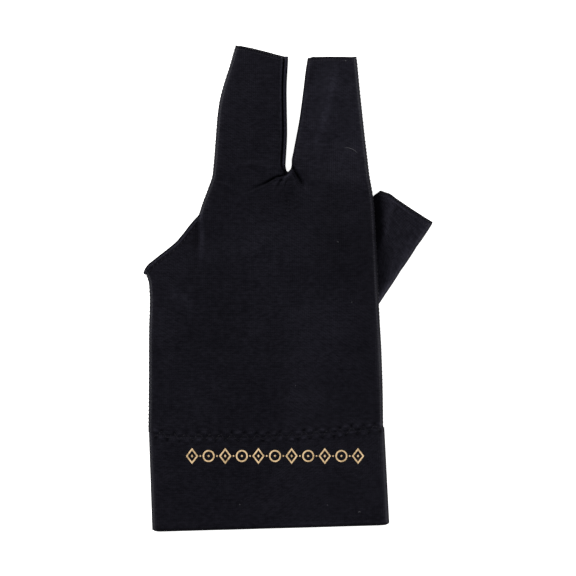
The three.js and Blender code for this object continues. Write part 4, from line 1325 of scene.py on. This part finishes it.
# Ornament of rings and lozenges in gold foil on the cuff
ornament = {
    "from": -34.6, "to": 42.6, "up": -9.7,
    "motifs": 11,
    "stroke": 0.68,
    "ring": 2.3, "lozenge": (2.3, 3.0),
    "dot": 0.5, "bud": 0.55,
    "thick": 0.07,
}


def strokeRings(path, width):  # a flat stroke along a closed path, as rings round it
    way = np.roll(path, -1, axis=0) - np.roll(path, 1, axis=0)
    way /= np.linalg.norm(way, axis=1, keepdims=True)
    side = np.column_stack([-way[:, 1], way[:, 0]])
    before = path - np.roll(path, 1, axis=0)
    before /= np.linalg.norm(before, axis=1, keepdims=True)
    square = np.column_stack([-before[:, 1], before[:, 0]])
    sharp = 1 / np.maximum(np.abs(np.einsum("ij,ij->i", side, square)), 0.5)
    rings = []
    for share, lift in ((-1, -0.1), (-0.9, ornament["thick"]), (0, ornament["thick"] + 0.03),
                        (0.9, ornament["thick"]), (1, -0.1)):
        plan = path + side * (share * width / 2 * sharp)[:, None]
        rings.append(np.column_stack([plan, cuffTop(plan[:, 0], plan[:, 1]) + lift]))
    return np.stack(rings, axis=1)


def discRings(centre, radiusX, radiusY, corners):
    turns = np.linspace(0, 2 * math.pi, corners, endpoint=False)
    rings = []
    for share, lift in ((1, -0.1), (0.85, ornament["thick"]), (0.05, ornament["thick"] + 0.03)):
        plan = centre + share * np.column_stack([radiusX * np.cos(turns), radiusY * np.sin(turns)])
        rings.append(np.column_stack([plan, cuffTop(plan[:, 0], plan[:, 1]) + lift]))
    return np.array(rings)


def ornamentMesh():
    points, faces = [], []
    pitch = (ornament["to"] - ornament["from"] - 2 * ornament["lozenge"][0]) / (ornament["motifs"] - 1)
    turns = np.linspace(0, 2 * math.pi, 40, endpoint=False)
    up = ornament["up"]
    for k in range(ornament["motifs"]):
        x = ornament["from"] + ornament["lozenge"][0] + k * pitch
        centre = np.array([x, up])
        if k % 2:
            circle = centre + ornament["ring"] * np.column_stack([np.cos(turns), np.sin(turns)])
            addBody(points, faces, strokeRings(circle, ornament["stroke"]), True)
            addBody(points, faces, discRings(centre, ornament["dot"], ornament["dot"], 16), False)
        else:
            wide, high = ornament["lozenge"]
            corners = np.array([[wide, 0], [0, high], [-wide, 0], [0, -high], [wide, 0]])
            outerLine = centre + alongLine(corners, turns / (2 * math.pi))
            addBody(points, faces, strokeRings(outerLine, ornament["stroke"]), True)
            addBody(points, faces, discRings(centre, ornament["bud"], ornament["bud"] * 1.35, 4), False)
        if k < ornament["motifs"] - 1:
            small = ornament["dot"] * 0.8
            addBody(points, faces, discRings(centre + np.array([pitch / 2, 0]), small, small, 12), False)
    points = np.array(points)
    return makeMesh("cuffOrnament", points, faces, points[:, :2], ornamentFoil, 35)


print("ornament")
ornamentPiece = ornamentMesh()

# Lint: a few loose fibres
fibres = {
    "fibreOne": ([(34.3, 125.2), (36.5, 125.0), (38.4, 124.2), (40.0, 122.9)], 0.1),
    "fibreTwo": ([(31.0, 84.2), (31.5, 83.9), (31.6, 83.5)], 0.1),
    "fibreThree": ([(37.2, 57.9), (37.5, 57.5), (37.9, 57.6)], 0.09),
    "fibreFour": ([(40.4, -34.4), (40.9, -34.1), (41.5, -34.3)], 0.13),
    "fibreFive": ([(-11.8, -30.9), (-11.4, -30.7), (-11.1, -30.9)], 0.09),
    "fibreSix": ([(34.6, 163.4), (34.9, 163.2), (35.2, 163.3)], 0.16),
}


def fibreMesh():
    points, faces = [], []
    for path, radius in fibres.values():
        line = smoothLine(path, 0.2)
        centre, up = onSurface(line, gloveTop, radius * 0.9)
        way = waysAlong(centre)
        side = np.cross(way, up)
        turns = np.linspace(0, 2 * math.pi, 6, endpoint=False)
        thin = radius * (0.35 + 0.65 * np.sin(np.linspace(0.15, math.pi - 0.15, len(line))))
        rings = (centre[:, None] + thin[:, None, None] * (np.cos(turns)[None, :, None] * side[:, None]
                                                          + np.sin(turns)[None, :, None] * up[:, None]))
        addBody(points, faces, rings, False)
    points = np.array(points)
    return makeMesh("lintFibres", points, faces, points[:, :2], lintFibre)


lintPiece = fibreMesh()

# Which node and slot each piece stands for, and the cloth's cut sizes in metres
cloths = {
    "gloveBack": (gloveBack, "back_panel", "glove_cloth", (0.110, 0.172), 0.0149),
    "glovePalm": (glovePalm, "palm_panel", "glove_cloth", (0.108, 0.171), 0.0142),
    "thumbTube": (thumbPiece, "thumb_tube", "thumb_cloth", (0.088, 0.044), 0.0032),
    "cuffBand": (cuffPiece, "cuff_band", "cuff_cloth", (0.210, 0.084), None),
    "openingHem": (hemPiece, "opening_hem", "seam_cloth", None, None),
    "fingerStrip": (stripPiece, "finger_fourchette", "seam_cloth", None, None),
}

floorMesh = bpy.data.meshes.new("floor")
floorReach, floorUp = 8.0, -0.0002  # metres
floorCorners = [(x * floorReach, y * floorReach, floorUp) for x, y in ((-1, -1), (1, -1), (1, 1), (-1, 1))]
floorMesh.from_pydata(floorCorners, [], [(0, 1, 2, 3)])
floor = addObject("floor", floorMesh)
floorMaterial, _, floorShader = newMaterial("paleFloor")
give(floorShader, Base_Color=(0.93, 0.93, 0.93), Roughness=0.9, Specular_IOR_Level=0.1,
     Emission_Color=(1.0, 1.0, 1.0), Emission_Strength=0.92)
floorMesh.materials.append(floorMaterial)

for piece, node, slot, *_ in cloths.values():
    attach(piece, "root")
    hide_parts(node)
for piece, slot in ((ornamentPiece, "ornament_foil"), (lintPiece, "stitch_thread")):
    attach(piece, "root")
backRows = ("hemLadder", "hemRow", "tipHemRow", "tipWhipRow", "crotchLadder", "sideSeamRow", "edgeLadder")
cuffRows = ("cuffStitchTop", "cuffStitchUnder")
carried = {
    "gloveBack": [hemPiece, stripPiece, lintPiece, *(row for row in stitches if row.name in backRows)],
    "glovePalm": [],
    "thumbTube": [row for row in stitches if row.name in ("mouthRow", "mouthWhip")],
    "cuffBand": [ornamentPiece, *(row for row in stitches if row.name in cuffRows)],
}
for name, others in carried.items():
    piece, _, _, cut, area = cloths[name]
    "folded" if name == "cuffBand" else "laid"

# Camera and light
view = {"lens": 135.0, "sensor": 36.0, "width": 253.4, "centre": (-0.237, 0.15), "plane": 3.5}
camera = addObject("camera", bpy.data.cameras.new("camera"))
camera.data.lens, camera.data.sensor_width = view["lens"], view["sensor"]
camera.data.clip_start, camera.data.clip_end = 0.01, 20
away = view["width"] * view["lens"] / view["sensor"] + view["plane"]
camera.location = Vector((*view["centre"], away)) * mm
bpy.context.scene.camera = camera

world = bpy.data.worlds.new("studio")
world.use_nodes = True
world.node_tree.nodes["Background"].inputs["Color"].default_value = (1, 1, 1, 1)
world.node_tree.nodes["Background"].inputs["Strength"].default_value = 0.4
bpy.context.scene.world = world
bpy.context.scene.view_settings.view_transform = "Standard"

lamps = {
    "keyLamp": {"at": (-0.7, 0.85, 0.8), "size": 0.45, "power": 22.0, "tint": (1, 0.99, 0.97)},
    "rightLamp": {"at": (0.9, -0.1, 0.16), "size": 0.3, "power": 6.0, "tint": (1, 0.99, 0.98)},
}
for name, lamp in lamps.items():
    light = bpy.data.lights.new(name, "AREA")
    light.size, light.energy, light.color = lamp["size"], lamp["power"], lamp["tint"]
    holder = addObject(name, light)
    holder.location = lamp["at"]
    holder.rotation_euler = (-Vector(lamp["at"])).to_track_quat("-Z", "Y").to_euler()
